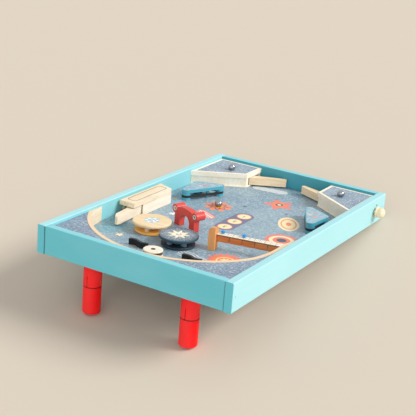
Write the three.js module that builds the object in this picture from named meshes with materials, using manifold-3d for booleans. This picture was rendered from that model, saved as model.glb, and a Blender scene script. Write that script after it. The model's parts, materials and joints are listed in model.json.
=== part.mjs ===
// Tabletop pinball game: a painted wooden tray that stands sloped on two plug-in legs.
// All lengths are millimetres. The tray is modelled flat in its own frame: +X to the
// player's right, +Y up the table, +Z out of the play surface, zero height at the
// lower edge of the side boards. The tray group is then tilted on its legs.
import * as THREE from "three";
import { mergeVertices } from "three/addons/utils/BufferGeometryUtils.js";
import Module from "manifold-3d";

const wasm = await Module();
wasm.setup();

// Clearances and cutting
const seatGap = 0.3;
const overrun = 1;
const runningGap = 0.4;

// Half sizes of the field that the plan places below are drawn for
const layoutHalfWidth = 176;
const layoutHalfLength = 285;

// Tray frame
const frameWidth = 382;
const frameLength = 600;
const frameHeight = 51;
const boardThickness = 15;
const boardChamfer = 1.2;
const endSetback = 0.7;
const playLevel = 17;
const panelThickness = 5;
const grooveDepth = 4;
const sideHoleRadius = 1.5;
const sideHoleDepth = 8;
const sideHoleFromEnd = 41.7;
const sideHoleLevel = 36.7;

// Legs under the far end
const legRadius = 16;
const legDrop = 95;
const legInset = 35.3;
const legSpread = 98;
const footRound = 3;
const socketDrop = 44.5;
const socketFlangeRadius = 19.5;
const socketFlangeThickness = 4;
const tenonRadius = 10.7;
const tenonLength = 26;
const tenonChamfer = 1;
const slitWidth = 1.5;
const slitLength = 20;

// Curved rail and the corner blocks behind it
const railRadius = 180;
const railWidth = 7;
const railTop = 46;
const railCentreX = 8;
const railFarGap = 10;
const railStraightX = 164;
const railStraightLow = -5;
const railStraightHigh = 24;
const railLeftEnd = -50;
const railRightEnd = 33;
const railJoinAngle = 28;
const railLeftJoinAngle = 153;
const railSteps = 26;
const cornerTop = 45.5;

// Flipper housings in the player's corners
const housingLong = 124;
const housingShort = 61;
const housingReach = 96;
const housingInset = 1.5;
const housingWall = 7;
const housingFlange = 2.4;
const housingTop = 45.5;
const housingPlate = 9;
const guideFromWall = 18;
const guideThickness = 7;
const chamberHalf = 7;

// Flipper levers
const flipperPivotFromWall = 90;
const flipperPivotUp = 40;
const flipperRootHalf = 8.5;
const flipperRootClip = 1.2;
const flipperHub = 3.9;
const flipperTipHalf = 4.6;
const flipperReachRight = 76.6;
const flipperReachLeft = 65;
const flipperTipUpRight = 4;
const flipperTipUpLeft = 16.7;
const heelHalf = 3.5;
const heelLength = 11;
const leverHeight = 15.2;
const pinRadius = 2;
const pinRoot = 4;
const tipRound = 2;

// Push buttons with their rods and return springs
const buttonDrop = 6.5;
const buttonLevel = 25.6;
const rodRadius = 4;
const collarRadius = 5.6;
const collarThickness = 3;
const knobStandoff = 4;
const knobFlangeRadius = 11;
const knobFlangeThickness = 2.6;
const knobNeckRadius = 8.8;
const knobRadius = 9.8;
const knobLength = 14;
const knobDomeShare = 0.7;
const springRadius = 5;
const springWire = 0.4;
const flipperSpringTurns = 8;
const kickerSpringTurns = 4;

// Side kicker beside the player's right wall
const kickerBoxWidth = 37;
const kickerMouthReach = 35;
const kickerHeelReach = 89;
const kickerBoxSlant = 12;
const kickerWallGap = 4;
const kickerTop = 47;
const kickerPlate = 9;
const kickerWall = 6.5;
const kickerPivotFromWall = 26;
const kickerPivotY = 56;
const kickerReach = 89;
const kickerHalf = 7;
const kickerNoseOuter = 13.5;
const kickerNoseInner = 6.5;
const kickerNoseFlat = 2.5;
const kickerNoseOffset = 1.8;
const kickerLean = 5.3;
const kickerButtonUp = 14;
const kickerTongueBelow = 2;
const kickerTongueLong = 6;
const kickerTongueTip = 1;
const kickerGuideFromWall = 11.3;
const kickerGuideThickness = 6;
const kickerGuideHalf = 8;

// Spinners
const discRadius = 35;
const discThickness = 5;
const discChamfer = 0.8;
const spinnerHeight = 20;
const spinnerBaseRadius = 30;
const spinnerBaseThickness = 4;
const spinnerPegRadius = 5;
const spinnerPegCircle = 17.5;
const spinnerHubRadius = 10;
const spinnerPegs = 4;
const axleRadius = 3;
const axleHeadRadius = 4.5;
const axleHead = 1.4;
const axleHeadTopShare = 0.8;
const plainSpinnerX = 82;
const plainSpinnerY = 117;
const plainSpinnerTurn = 9;
const compassSpinnerX = 7.5;
const compassSpinnerY = 144.5;
const compassSpinnerTurn = 65;

// Mushroom bumper
const bumperX = 5;
const bumperBelowRail = 48;
const bumperHeight = 17.5;
const bumperRadius = 17;
const bumperCap = 11.5;
const bumperRim = 2.5;
const bumperGroove = 4.5;
const bumperGrooveRadius = 11;
const bumperStemRadius = 8;
const bumperFootRadius = 13;
const bumperFoot = 3;
const bumperHoleRadius = 2.2;

// Wavy fences
const fenceInner = 35;
const fenceLength = 38;
const fenceBelowRail = 77;
const fenceThickness = 5;
const fenceHeight = 11;
const fenceSwing = 2.6;
const fenceSteps = 16;

// Gate arch
const archX = 43.7;
const archY = 60.9;
const archTurn = 20;
const archHalf = 28.6;
const archDepth = 12;
const archSpring = 26;
const archHeight = 37.6;
const gateHalf = 14;
const gateSpring = 10.5;
const bossRadius = 8;
const bossSpread = 28.4;
const bossLevel = 29.5;
const bossProud = 0.5;
const bossLength = 20;
const plugRadius = 4.6;
const plugDepth = 3;
const plugProud = 0.6;

// Score bridge with hanging flaps
const bridgeX = -54.3;
const bridgeAboveRailCentre = 32.3;
const bridgeTurn = 192;
const postWidth = 12;
const postDepth = 21.3;
const postHeight = 41.5;
const postRound = 8;
const postBackRound = 14;
const slatInset = 8.8;
const slatWidth = 12.5;
const slatLevel = 28.6;
const slatThickness = 2;
const flapCount = 5;
const flapPitch = 22.9;
const flapGap = 1.2;
const flapThickness = 4;
const flapHeight = 9;
const flapRodRadius = 1.5;
const flapRodInset = 2.6;
const flapRodBelow = 2.7;
const rodSeat = 4;
const scoreHoles = 11;
const scoreHoleRadius = 1.5;
const scoreHoleInset = 9;
const scoreHoleMargin = 9;
const scorePegRadius = 4.2;
const scorePegDomeShare = 0.65;
const scorePinRadius = 1.2;
const scorePinLength = 3.5;
const scorePegPlaces = [0, 4];

// Slingshots with rubber bands: their corners, measured from the side wall and along the
// field, from the far tip, past the wall, to the middle
const slingRight = [
  [45, -75],
  [40, -125],
  [79, -143],
];
const slingLeft = [
  [38, -75],
  [34, -122],
  [73, -143],
];
const slingFootRadius = 9;
const slingGrooveRadius = 6.5;
const slingHeight = 21;
const slingPlate = 6;
const slingFlange = 4.7;
const bandHeight = 4.4;
const bandThickness = 2;
const slingPostRadius = 3.2;
const slingPostShare = 0.62;
const slingPostOut = 2;

// Steel balls in their cups
const ballRadius = 7.3;
const cupRadius = 5;
const cupDepth = 3;
const ballX = 62;
const ballY = -83;
const shelfBallRightFromWall = 56.3;
const shelfBallRightFromEnd = 56.4;
const shelfBallLeftFromWall = 51.2;
const shelfBallLeftFromEnd = 54;

// Roundness of the turned pieces, in segments
const coarse = 12;
const medium = 20;
const fine = 32;

// Colours and surfaces
const paint = (color, roughness = 0.55) =>
  new THREE.MeshStandardMaterial({ color, roughness, metalness: 0 });
const turquoise = paint(0x62bcc9);
const beech = paint(0xe8cfa2, 0.6);
const darkBeech = paint(0xc98a4c, 0.6);
const redPaint = paint(0xe31c17, 0.4);
const gatePaint = paint(0xd8463a, 0.5);
const printBlue = paint(0x7e9db0);
const navy = paint(0x2f4654);
const orangeWood = paint(0xe0922f);
const slingBlue = paint(0x58b4cc);
const rubber = paint(0x1b1a1c, 0.8);
const pegBlue = paint(0x1187d8, 0.35);
const steel = new THREE.MeshStandardMaterial({ color: 0xb9bcc0, roughness: 0.25, metalness: 1 });

// Inner faces of the tray
const innerX = frameWidth / 2 - boardThickness;
const innerY = frameLength / 2 - boardThickness;
const panelBottom = playLevel - panelThickness;
const deck = playLevel + seatGap;
const degrees = Math.PI / 180;

// Plan places and sizes drawn for the layout's field, carried over to the tray's own field
const fieldX = (x) => (x * innerX) / layoutHalfWidth;
const fieldY = (y) => (y * innerY) / layoutHalfLength;
const fieldShare = Math.min(innerX / layoutHalfWidth, innerY / layoutHalfLength);
const fieldSize = (size) => size * fieldShare;
const spinners = [
  { name: "plain", x: fieldX(plainSpinnerX), y: fieldY(plainSpinnerY), turn: plainSpinnerTurn },
  { name: "compass", x: fieldX(compassSpinnerX), y: fieldY(compassSpinnerY), turn: compassSpinnerTurn },
];
const arcRadius = fieldX(railRadius);
const arcX = fieldX(railCentreX);
const arcY = innerY - railFarGap - arcRadius;
const straightX = fieldX(railStraightX);

// The tilt that brings the near edge of the boards and the rims of the feet to one level
const legY = frameLength / 2 - legInset;
const rimRun = legY - (legRadius - footRound) + frameLength / 2;
const rimDrop = legDrop - footRound;
const tilt = Math.asin(footRound / Math.hypot(rimRun, rimDrop)) + Math.atan2(rimDrop, rimRun);

const root = new THREE.Group();
const tray = new THREE.Group();
tray.rotation.x = tilt;
root.add(tray);

// A closed geometry as a solid that can be joined and cut
function solid(geometry) {
  const bare = geometry.clone();
  bare.deleteAttribute("normal");
  bare.deleteAttribute("uv");
  const merged = mergeVertices(bare, 1e-4);
  return new wasm.Manifold(
    new wasm.Mesh({
      numProp: 3,
      vertProperties: merged.attributes.position.array,
      triVerts: new Uint32Array(merged.index.array),
    }),
  );
}

// A solid back as a geometry
function shaped(body) {
  const mesh = body.getMesh();
  const geometry = new THREE.BufferGeometry();
  geometry.setAttribute("position", new THREE.BufferAttribute(mesh.vertProperties, 3));
  geometry.setIndex(new THREE.BufferAttribute(mesh.triVerts, 1));
  const flat = geometry.toNonIndexed();
  flat.computeVertexNormals();
  return flat;
}

// Joins the first geometry with the others
function join(first, ...others) {
  return shaped(others.reduce((body, other) => body.add(solid(other)), solid(first)));
}

// Cuts the other geometries out of the first
function cut(first, ...others) {
  return shaped(others.reduce((body, other) => body.subtract(solid(other)), solid(first)));
}

// Puts a named mesh into a group
function place(group, name, geometry, material, x = 0, y = 0, z = 0) {
  const mesh = new THREE.Mesh(geometry, material);
  mesh.name = name;
  mesh.position.set(x, y, z);
  group.add(mesh);
  return mesh;
}

// A shape in plan raised between two levels
function slab(shape, low, high, curveSegments = medium) {
  const options = { depth: high - low, bevelEnabled: false, curveSegments };
  return new THREE.ExtrudeGeometry(shape, options).translate(0, 0, low);
}

function polygon(points) {
  return new THREE.Shape(points.map(([x, y]) => new THREE.Vector2(x, y)));
}

function block(x0, x1, y0, y1, z0, z1) {
  const box = new THREE.BoxGeometry(x1 - x0, y1 - y0, z1 - z0);
  return box.translate((x0 + x1) / 2, (y0 + y1) / 2, (z0 + z1) / 2);
}

// An upright cylinder at a place in plan
function post(x, y, radius, low, high, segments = coarse) {
  const cylinder = new THREE.CylinderGeometry(radius, radius, high - low, segments);
  return cylinder.rotateX(Math.PI / 2).translate(x, y, (low + high) / 2);
}

// A profile of [radius, height] pairs turned about the upright axis
function turned(profile, segments = medium) {
  const points = profile.map(([radius, height]) => new THREE.Vector2(radius, height));
  return new THREE.LatheGeometry(points, segments).rotateX(Math.PI / 2);
}

// The outline round circles of one radius on the corners of a convex polygon
function hullShape(corners, radius) {
  const area = THREE.ShapeUtils.area(corners.map(([x, y]) => new THREE.Vector2(x, y)));
  const ring = area < 0 ? [...corners].reverse() : corners;
  const shape = new THREE.Shape();
  ring.forEach(([x, y], i) => {
    const [px, py] = ring[(i + ring.length - 1) % ring.length];
    const [nx, ny] = ring[(i + 1) % ring.length];
    const from = Math.atan2(y - py, x - px) - Math.PI / 2;
    const to = Math.atan2(ny - y, nx - x) - Math.PI / 2;
    shape.absarc(x, y, radius, from, to, false);
  });
  shape.closePath();
  return shape;
}

// One unbroken tube along a helix on the X axis, closed at both ends
function coil(length, turns, radius, wire) {
  const stepsPerTurn = 8;
  const sides = 5;
  const steps = Math.round(turns * stepsPerTurn);
  const run = length - 2 * wire;
  const centre = (t) =>
    new THREE.Vector3(
      wire + run * t,
      radius * Math.cos(2 * Math.PI * turns * t),
      radius * Math.sin(2 * Math.PI * turns * t),
    );
  const positions = [];
  const index = [];
  for (let i = 0; i <= steps; i++) {
    const t = i / steps;
    const here = centre(t);
    const outward = new THREE.Vector3(0, here.y, here.z).normalize();
    const angle = 2 * Math.PI * turns * t;
    const along = new THREE.Vector3(
      run / (2 * Math.PI * turns),
      -radius * Math.sin(angle),
      radius * Math.cos(angle),
    ).normalize();
    const across = new THREE.Vector3().crossVectors(along, outward);
    for (let s = 0; s < sides; s++) {
      const a = (2 * Math.PI * s) / sides;
      const point = here
        .clone()
        .addScaledVector(outward, wire * Math.cos(a))
        .addScaledVector(across, wire * Math.sin(a));
      positions.push(point.x, point.y, point.z);
    }
  }
  for (let i = 0; i < steps; i++) {
    for (let s = 0; s < sides; s++) {
      const a = i * sides + s;
      const b = i * sides + ((s + 1) % sides);
      index.push(a, b, a + sides, b, b + sides, a + sides);
    }
  }
  for (let s = 1; s < sides - 1; s++) {
    index.push(0, s + 1, s);
    index.push(steps * sides, steps * sides + s, steps * sides + s + 1);
  }
  const geometry = new THREE.BufferGeometry();
  geometry.setAttribute("position", new THREE.Float32BufferAttribute(positions, 3));
  geometry.setIndex(index);
  const gaps = [];
  for (let i = 0; i <= steps - stepsPerTurn; i++) {
    const gap = centre(i / steps).distanceTo(centre((i + stepsPerTurn) / steps));
    gaps.push(gap - 2 * wire);
  }
  console.log("coil of " + turns + " turns, least gap " + Math.min(...gaps).toFixed(2) + " mm");
  return geometry;
}

// Board section with chamfered long edges, its outer face at zero
function boardSection(thickness) {
  return polygon([
    [0, boardChamfer],
    [boardChamfer, 0],
    [thickness, 0],
    [thickness, frameHeight - boardChamfer],
    [thickness - boardChamfer, frameHeight],
    [boardChamfer, frameHeight],
    [0, frameHeight - boardChamfer],
  ]);
}

// The space that the play panel's edge takes in the boards' grooves
function panelSpace() {
  const x = innerX + grooveDepth;
  const y = innerY + grooveDepth;
  return block(-x, x, -y, y, panelBottom - seatGap, playLevel + seatGap);
}

// A cylinder along X through a side board
function crossHole(x0, x1, y, z, radius, segments = coarse) {
  const cylinder = new THREE.CylinderGeometry(radius, radius, x1 - x0, segments);
  return cylinder.rotateZ(Math.PI / 2).translate((x0 + x1) / 2, y, z);
}

const flipperPivotX = innerX - flipperPivotFromWall;
const flipperPivotY = -innerY + flipperPivotUp;
const flipperButtonY = flipperPivotY - buttonDrop;
const kickerPivotX = innerX - kickerPivotFromWall;
const kickerY = fieldY(kickerPivotY);
const kickerButtonY = kickerY + kickerButtonUp;
const kickerMouthY = kickerY + kickerMouthReach;
const kickerHeelY = kickerY - kickerHeelReach;
const rodHole = rodRadius + seatGap;

function sideBoard(side) {
  const section = boardSection(boardThickness);
  const along = new THREE.ExtrudeGeometry(section, { depth: frameLength, bevelEnabled: false });
  along.rotateX(Math.PI / 2).translate(-frameWidth / 2, frameLength / 2, 0);
  if (side > 0) along.rotateZ(Math.PI);
  const from = side > 0 ? innerX - overrun : -frameWidth / 2 - overrun;
  const to = from + boardThickness + 2 * overrun;
  const holes = [crossHole(from, to, flipperButtonY, buttonLevel, rodHole)];
  if (side > 0) {
    holes.push(crossHole(from, to, kickerButtonY, buttonLevel, rodHole));
  } else {
    const holeY = -frameLength / 2 + sideHoleFromEnd;
    const depth = sideHoleDepth - frameWidth / 2;
    holes.push(crossHole(from, depth, holeY, sideHoleLevel, sideHoleRadius));
  }
  return cut(along, panelSpace(), ...holes);
}

function endBoard(end) {
  const section = boardSection(boardThickness - endSetback);
  const length = 2 * (innerX - seatGap);
  const along = new THREE.ExtrudeGeometry(section, { depth: length, bevelEnabled: false });
  along.rotateX(Math.PI / 2).rotateZ(-Math.PI / 2);
  along.translate(length / 2, frameLength / 2 - endSetback, 0);
  if (end < 0) along.rotateZ(Math.PI);
  return cut(along, panelSpace());
}

function addFrame() {
  place(tray, "side_board_right", sideBoard(1), turquoise);
  place(tray, "side_board_left", sideBoard(-1), turquoise);
  place(tray, "end_board_far", endBoard(1), turquoise);
  place(tray, "end_board_near", endBoard(-1), turquoise);
  const panelX = innerX + grooveDepth - seatGap;
  const panelY = innerY + grooveDepth - seatGap;
  const axleHoles = spinners.map(({ x, y }) =>
    post(x, y, axleRadius + seatGap, panelBottom - overrun, playLevel + overrun),
  );
  const cup = post(fieldX(ballX), fieldY(ballY), cupRadius, playLevel - cupDepth, playLevel + overrun);
  const panel = block(-panelX, panelX, -panelY, panelY, panelBottom, playLevel);
  place(tray, "play_panel", cut(panel, cup, ...axleHoles), printBlue);
}

// Leg socket: a flanged sleeve under the panel whose lower end is split in four
function legSocket() {
  const top = panelBottom - seatGap;
  const bore = tenonRadius + seatGap;
  const boreTop = tenonLength - socketDrop + runningGap;
  const sleeve = turned(
    [
      [0, boreTop],
      [bore, boreTop],
      [bore, -socketDrop],
      [legRadius, -socketDrop],
      [legRadius, top - socketFlangeThickness],
      [socketFlangeRadius, top - socketFlangeThickness],
      [socketFlangeRadius, top],
      [0, top],
    ],
    fine,
  );
  const half = slitWidth / 2;
  const reach = legRadius + overrun;
  const low = -socketDrop - overrun;
  const high = -socketDrop + slitLength;
  return cut(
    sleeve,
    block(-half, half, -reach, reach, low, high),
    block(-reach, reach, -half, half, low, high),
  );
}

// Leg: a round foot below the seam and a tenon that plugs into the socket
function leg() {
  const seam = -socketDrop - seatGap;
  const tenonTop = tenonLength - socketDrop;
  const foot = [];
  for (let i = 0; i <= 4; i++) {
    const a = (i / 4) * (Math.PI / 2);
    const radius = legRadius - footRound + footRound * Math.sin(a);
    foot.push([radius, -legDrop + footRound - footRound * Math.cos(a)]);
  }
  return turned(
    [
      [0, -legDrop],
      ...foot,
      [legRadius, seam],
      [tenonRadius, seam],
      [tenonRadius, tenonTop - tenonChamfer],
      [tenonRadius - tenonChamfer, tenonTop],
      [0, tenonTop],
    ],
    fine,
  );
}

function addLegs() {
  for (const [side, hand] of [[1, "right"], [-1, "left"]]) {
    place(tray, "leg_socket_" + hand, legSocket(), redPaint, side * legSpread, legY, 0);
    place(tray, "leg_" + hand, leg(), redPaint, side * legSpread, legY, 0);
  }
}

// Plan outline inside the curved rail, grown outwards by a margin, run on past the walls
function railOutline(margin) {
  const radius = arcRadius + margin;
  const straight = -straightX - margin;
  const from = railJoinAngle * degrees;
  const to = railLeftJoinAngle * degrees;
  const startX = arcX + radius * Math.cos(from);
  const startY = arcY + radius * Math.sin(from);
  const joinX = arcX + radius * Math.cos(to);
  const joinY = arcY + radius * Math.sin(to);
  const shape = new THREE.Shape();
  shape.moveTo(innerX + margin, arcY + railRightEnd);
  const tangentY = startY - (innerX + margin - startX) / Math.tan(from);
  shape.quadraticCurveTo(innerX + margin, tangentY, startX, startY);
  shape.absarc(arcX, arcY, radius, from, to, false);
  const straightHigh = arcY + railStraightHigh;
  const straightLow = arcY + railStraightLow;
  const leftEnd = arcY + railLeftEnd;
  shape.bezierCurveTo(joinX, joinY, straight, (joinY + straightHigh) / 2, straight, straightHigh);
  shape.lineTo(straight, straightLow);
  shape.quadraticCurveTo(straight, (straightLow + leftEnd) / 2, -innerX, leftEnd);
  shape.lineTo(-innerX, -innerY);
  shape.lineTo(innerX + margin, -innerY);
  return shape;
}

function addRail() {
  const wallX = innerX - seatGap;
  const wallY = innerY - seatGap;
  const far = block(-wallX, wallX, arcY + railLeftEnd, wallY, deck, railTop);
  const inside = slab(railOutline(0), deck - overrun, railTop + overrun, railSteps);
  const outside = slab(railOutline(railWidth), deck - overrun, railTop + overrun, railSteps);
  const ring = solid(far).intersect(solid(outside)).subtract(solid(inside));
  const seat = bridgePoint(bridgeRun(rodAcross) + rodSeat / 2, rodAcross);
  const rodHoleLength = 2 * rodSeat;
  const hole = new THREE.CylinderGeometry(
    flapRodRadius + seatGap,
    flapRodRadius + seatGap,
    rodHoleLength,
    coarse,
  );
  hole.rotateZ(-Math.PI / 2).rotateZ(bridgeTurn * degrees);
  hole.translate(seat.x, seat.y, flapRodLevel);
  const parts = ring.subtract(solid(hole)).decompose();
  const largest = parts.reduce((a, b) => (a.volume() > b.volume() ? a : b));
  place(tray, "curved_rail", shaped(largest), beech);
  const beyond = slab(railOutline(railWidth + seatGap), deck - overrun, railTop + overrun, railSteps);
  for (const [side, hand] of [[1, "right"], [-1, "left"]]) {
    const x0 = side > 0 ? 0 : -wallX;
    const corner = block(x0, x0 + wallX, arcY, wallY, deck, cornerTop);
    const pieces = solid(corner).subtract(solid(beyond)).decompose();
    const piece = pieces.reduce((a, b) => (a.volume() > b.volume() ? a : b));
    place(tray, "corner_block_" + hand, shaped(piece), printBlue);
  }
}

// Plan outline of a flipper housing, drawn in from its edges by an inset
function housingOutline(side, inset, wallInset) {
  const slope = Math.atan2(housingLong - housingShort, housingReach);
  const shift = inset / Math.cos(slope);
  const x0 = innerX - housingReach + inset;
  const x1 = innerX - wallInset;
  const rise = Math.tan(slope);
  const y0 = -innerY + housingShort - shift + inset * rise;
  const y1 = -innerY + housingLong - shift - wallInset * rise;
  const bottom = -innerY + wallInset;
  const corners = [[x0, bottom], [x1, bottom], [x1, y1], [x0, y0]];
  return polygon(corners.map(([x, y]) => [side * x, y]));
}

// Flipper housing: a thin flange on the deck, walls on three sides and a rod guide
function housing(side) {
  const low = deck + housingFlange;
  const high = housingTop - housingPlate - seatGap;
  const walls = slab(housingOutline(side, housingInset, seatGap), low - overrun, high);
  const flange = slab(housingOutline(side, 0, seatGap), deck, low);
  const slope = Math.atan2(housingLong - housingShort, housingReach);
  const wallShift = (housingInset + housingWall) / Math.cos(slope);
  const guideX = innerX - guideFromWall - guideThickness;
  const mouthX = innerX - housingReach - overrun;
  const wallY = (x) =>
    -innerY + housingLong - (innerX - x) * Math.tan(slope) - wallShift;
  const cavity = polygon(
    [
      [mouthX, -innerY + housingWall],
      [guideX, -innerY + housingWall],
      [guideX, wallY(guideX)],
      [mouthX, wallY(mouthX)],
    ].map(([x, y]) => [side * x, y]),
  );
  const chamberX = innerX - guideFromWall;
  const chamberEnds = [side * chamberX, side * (innerX + overrun)].sort((a, b) => a - b);
  const guideEnds = [side * (guideX - overrun), side * (chamberX + overrun)].sort((a, b) => a - b);
  const chamber = block(
    ...chamberEnds,
    flipperButtonY - chamberHalf,
    flipperButtonY + chamberHalf,
    low,
    high + overrun,
  );
  return cut(
    join(walls, flange),
    slab(cavity, low, high + overrun),
    chamber,
    crossHole(...guideEnds, flipperButtonY, buttonLevel, rodHole),
    post(side * flipperPivotX, flipperPivotY, pinRadius + seatGap, deck - overrun, low + overrun),
  );
}

// Where the spare ball lies on the cover of one side
function shelfBallPlace(side) {
  const fromWall = side > 0 ? shelfBallRightFromWall : shelfBallLeftFromWall;
  const fromEnd = side > 0 ? shelfBallRightFromEnd : shelfBallLeftFromEnd;
  return { x: side * (innerX - fromWall), y: fromEnd - innerY };
}

// The housing's cover plate, with the cup that holds a spare ball and the pin's seat
function housingCover(side) {
  const low = housingTop - housingPlate;
  const plate = slab(housingOutline(side, 0, seatGap), low, housingTop);
  const { x, y } = shelfBallPlace(side);
  const cup = post(x, y, cupRadius, housingTop - cupDepth, housingTop + overrun);
  const seat = post(
    side * flipperPivotX,
    flipperPivotY,
    pinRadius + seatGap,
    low - overrun,
    low + pinRoot + seatGap,
  );
  return cut(plate, cup, seat);
}

// Flipper lever about its own pivot: a tapered bar with a heel that the button's rod pushes.
// The bar's outline runs along the lever and towards the button's side of it, and droops so
// far that the middle of its tip is at its height above the near board. On another width of
// field the levers keep their share of the way to the middle.
function flipperLever(side, fullReach, tipUp) {
  const reach = (fullReach * flipperPivotX) / (layoutHalfWidth - flipperPivotFromWall);
  const droop = Math.asin((flipperPivotUp - tipUp) / Math.max(reach, fullReach));
  const c = Math.cos(droop);
  const s = Math.sin(droop);
  const bar = [
    [0, 0],
    [flipperRootClip, flipperRootHalf],
    [reach - tipRound, flipperTipHalf],
    [reach, flipperTipHalf - tipRound],
    [reach, tipRound - flipperTipHalf],
    [reach - tipRound, -flipperTipHalf],
    [0, -flipperRootHalf],
  ].map(([along, across]) => [side * (across * s - along * c), -along * s - across * c]);
  const low = -leverHeight / 2;
  const high = leverHeight / 2;
  const arm = slab(polygon(bar), low, high);
  const root = post(0, 0, flipperHub, low, high, medium);
  const heel = block(-heelHalf, heelHalf, -heelLength, 0, low, high);
  const bore = post(0, 0, pinRadius + runningGap, low - overrun, high + overrun);
  return cut(join(arm, root, heel), bore);
}

// Button on the X axis: rod with a rounded inner end, stop collar, and a turned knob
function button(rodLength, stopAt) {
  const knobStart = stopAt + seatGap + boardThickness + knobStandoff;
  const bulbStart = knobStart + knobFlangeThickness;
  const bulbEnd = bulbStart + knobLength;
  const profile = [];
  const steps = 3;
  for (let i = 0; i <= steps; i++) {
    const a = (i / steps) * (Math.PI / 2);
    profile.push([rodRadius * Math.sin(a), rodRadius * (1 - Math.cos(a)) - rodLength + stopAt]);
  }
  profile.push([rodRadius, stopAt - collarThickness]);
  profile.push([collarRadius, stopAt - collarThickness]);
  profile.push([collarRadius, stopAt]);
  profile.push([rodRadius, stopAt]);
  profile.push([rodRadius, knobStart]);
  profile.push([knobFlangeRadius, knobStart]);
  profile.push([knobFlangeRadius, bulbStart]);
  profile.push([knobNeckRadius, bulbStart]);
  const domes = 4;
  const dome = knobRadius * knobDomeShare;
  profile.push([knobRadius, bulbStart + (bulbEnd - dome - bulbStart) / 2]);
  for (let i = 0; i <= domes; i++) {
    const a = (i / domes) * (Math.PI / 2);
    profile.push([knobRadius * Math.cos(a), bulbEnd - dome + dome * Math.sin(a)]);
  }
  profile[profile.length - 1][0] = 0;
  return turned(profile, medium).rotateY(Math.PI / 2);
}

// Places a button and its return spring on the chosen side
function addButton(side, name, y, tipX, guideX, turns) {
  const stopX = innerX - seatGap;
  const piece = button(stopX - tipX, stopX);
  const springStart = guideX + seatGap;
  const springLength = stopX - collarThickness - seatGap - springStart;
  const spring = coil(springLength, turns, springRadius, springWire);
  spring.translate(springStart, 0, 0);
  if (side < 0) {
    piece.rotateZ(Math.PI);
    spring.rotateZ(Math.PI);
  }
  place(tray, name + "_button", piece, beech, 0, y, buttonLevel);
  place(tray, name + "_spring", spring, steel, 0, y, buttonLevel);
}

// Pivot pin of a lever, from the flange up into the cover
function pivotPin(coverLow) {
  return post(0, 0, pinRadius, deck, coverLow + pinRoot, coarse);
}

const leverMiddle = (coverLow) => (deck + housingFlange + coverLow - seatGap) / 2;

function addFlippers() {
  const coverLow = housingTop - housingPlate;
  const hands = [
    [1, "right", flipperReachRight, flipperTipUpRight],
    [-1, "left", flipperReachLeft, flipperTipUpLeft],
  ];
  for (const [side, hand, reach, tipUp] of hands) {
    const x = side * flipperPivotX;
    const name = "flipper_" + hand;
    place(tray, name + "_housing", housing(side), beech);
    place(tray, name + "_cover", housingCover(side), beech);
    const lever = flipperLever(side, reach, tipUp);
    place(tray, name + "_lever", lever, beech, x, flipperPivotY, leverMiddle(coverLow));
    place(tray, name + "_pivot_pin", pivotPin(coverLow), steel, x, flipperPivotY);
    const tipX = flipperPivotX + heelHalf + seatGap;
    addButton(side, name, flipperButtonY, tipX, innerX - guideFromWall, flipperSpringTurns);
  }
}

// Plan outline of the kicker box, drawn in by an inset
function kickerOutline(inset, outer) {
  const x0 = innerX - kickerBoxWidth + inset;
  const x1 = innerX - outer;
  return polygon([
    [x0, kickerMouthY - inset],
    [x0, kickerHeelY + inset],
    [x1, kickerHeelY - kickerBoxSlant + inset],
    [x1, kickerMouthY - inset],
  ]);
}

// Kicker box: a flange, the inner and end walls, a thin tongue of the inner wall beside the
// lever's root, and the block that guides the button's rod
function kickerBox() {
  const low = deck + housingFlange;
  const high = kickerTop - kickerPlate - seatGap;
  const x0 = innerX - kickerBoxWidth + kickerWall;
  const edge = innerX + overrun;
  const mouthY = kickerMouthY + overrun;
  const wallEnd = kickerY - kickerHalf - runningGap;
  const outer = slab(kickerOutline(0, kickerWallGap), deck, high);
  const hollow = block(x0, edge, kickerHeelY + kickerWall, mouthY, low, high + overrun);
  const wallX = innerX - kickerBoxWidth;
  const rootX = kickerPivotX - kickerHalf - runningGap;
  const tongueY = kickerY + kickerTongueLong;
  const mouthPlan = polygon([
    [wallX - overrun, tongueY],
    [wallX + kickerTongueTip, tongueY],
    [rootX, kickerY - kickerTongueBelow],
    [rootX, wallEnd],
    [edge, wallEnd],
    [edge, mouthY],
    [wallX - overrun, mouthY],
  ]);
  const mouth = slab(mouthPlan, low, high + overrun);
  const guideX = innerX - kickerGuideFromWall - kickerGuideThickness;
  const guide = block(
    guideX,
    innerX - kickerGuideFromWall,
    kickerButtonY - kickerGuideHalf,
    kickerButtonY + kickerGuideHalf,
    low - overrun,
    high,
  );
  const bore = crossHole(guideX - overrun, edge, kickerButtonY, buttonLevel, rodHole);
  const pinHole = post(kickerPivotX, kickerY, pinRadius + seatGap, deck - overrun, low + overrun);
  return cut(join(cut(outer, hollow, mouth), guide), bore, pinHole);
}

function kickerCover() {
  const low = kickerTop - kickerPlate;
  const plate = slab(kickerOutline(0, kickerWallGap), low, kickerTop);
  const seatTop = low + pinRoot + seatGap;
  return cut(plate, post(kickerPivotX, kickerY, pinRadius + seatGap, low - overrun, seatTop));
}

// Kicker lever about its own pivot: a straight bar whose blunt nose is cut back to the wall
function kickerLever() {
  const bar = new THREE.Shape();
  bar.moveTo(-kickerHalf, 0);
  bar.absarc(0, 0, kickerHalf, Math.PI, 2 * Math.PI, false);
  bar.lineTo(kickerHalf, kickerReach - kickerNoseOuter);
  bar.lineTo(kickerNoseFlat - kickerNoseOffset, kickerReach);
  bar.lineTo(-kickerNoseFlat - kickerNoseOffset, kickerReach);
  bar.lineTo(-kickerHalf, kickerReach - kickerNoseInner);
  const low = -leverHeight / 2;
  const high = leverHeight / 2;
  const arm = slab(bar, low, high, 8).rotateZ(kickerLean * degrees);
  return cut(arm, post(0, 0, pinRadius + runningGap, low - overrun, high + overrun));
}

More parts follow.
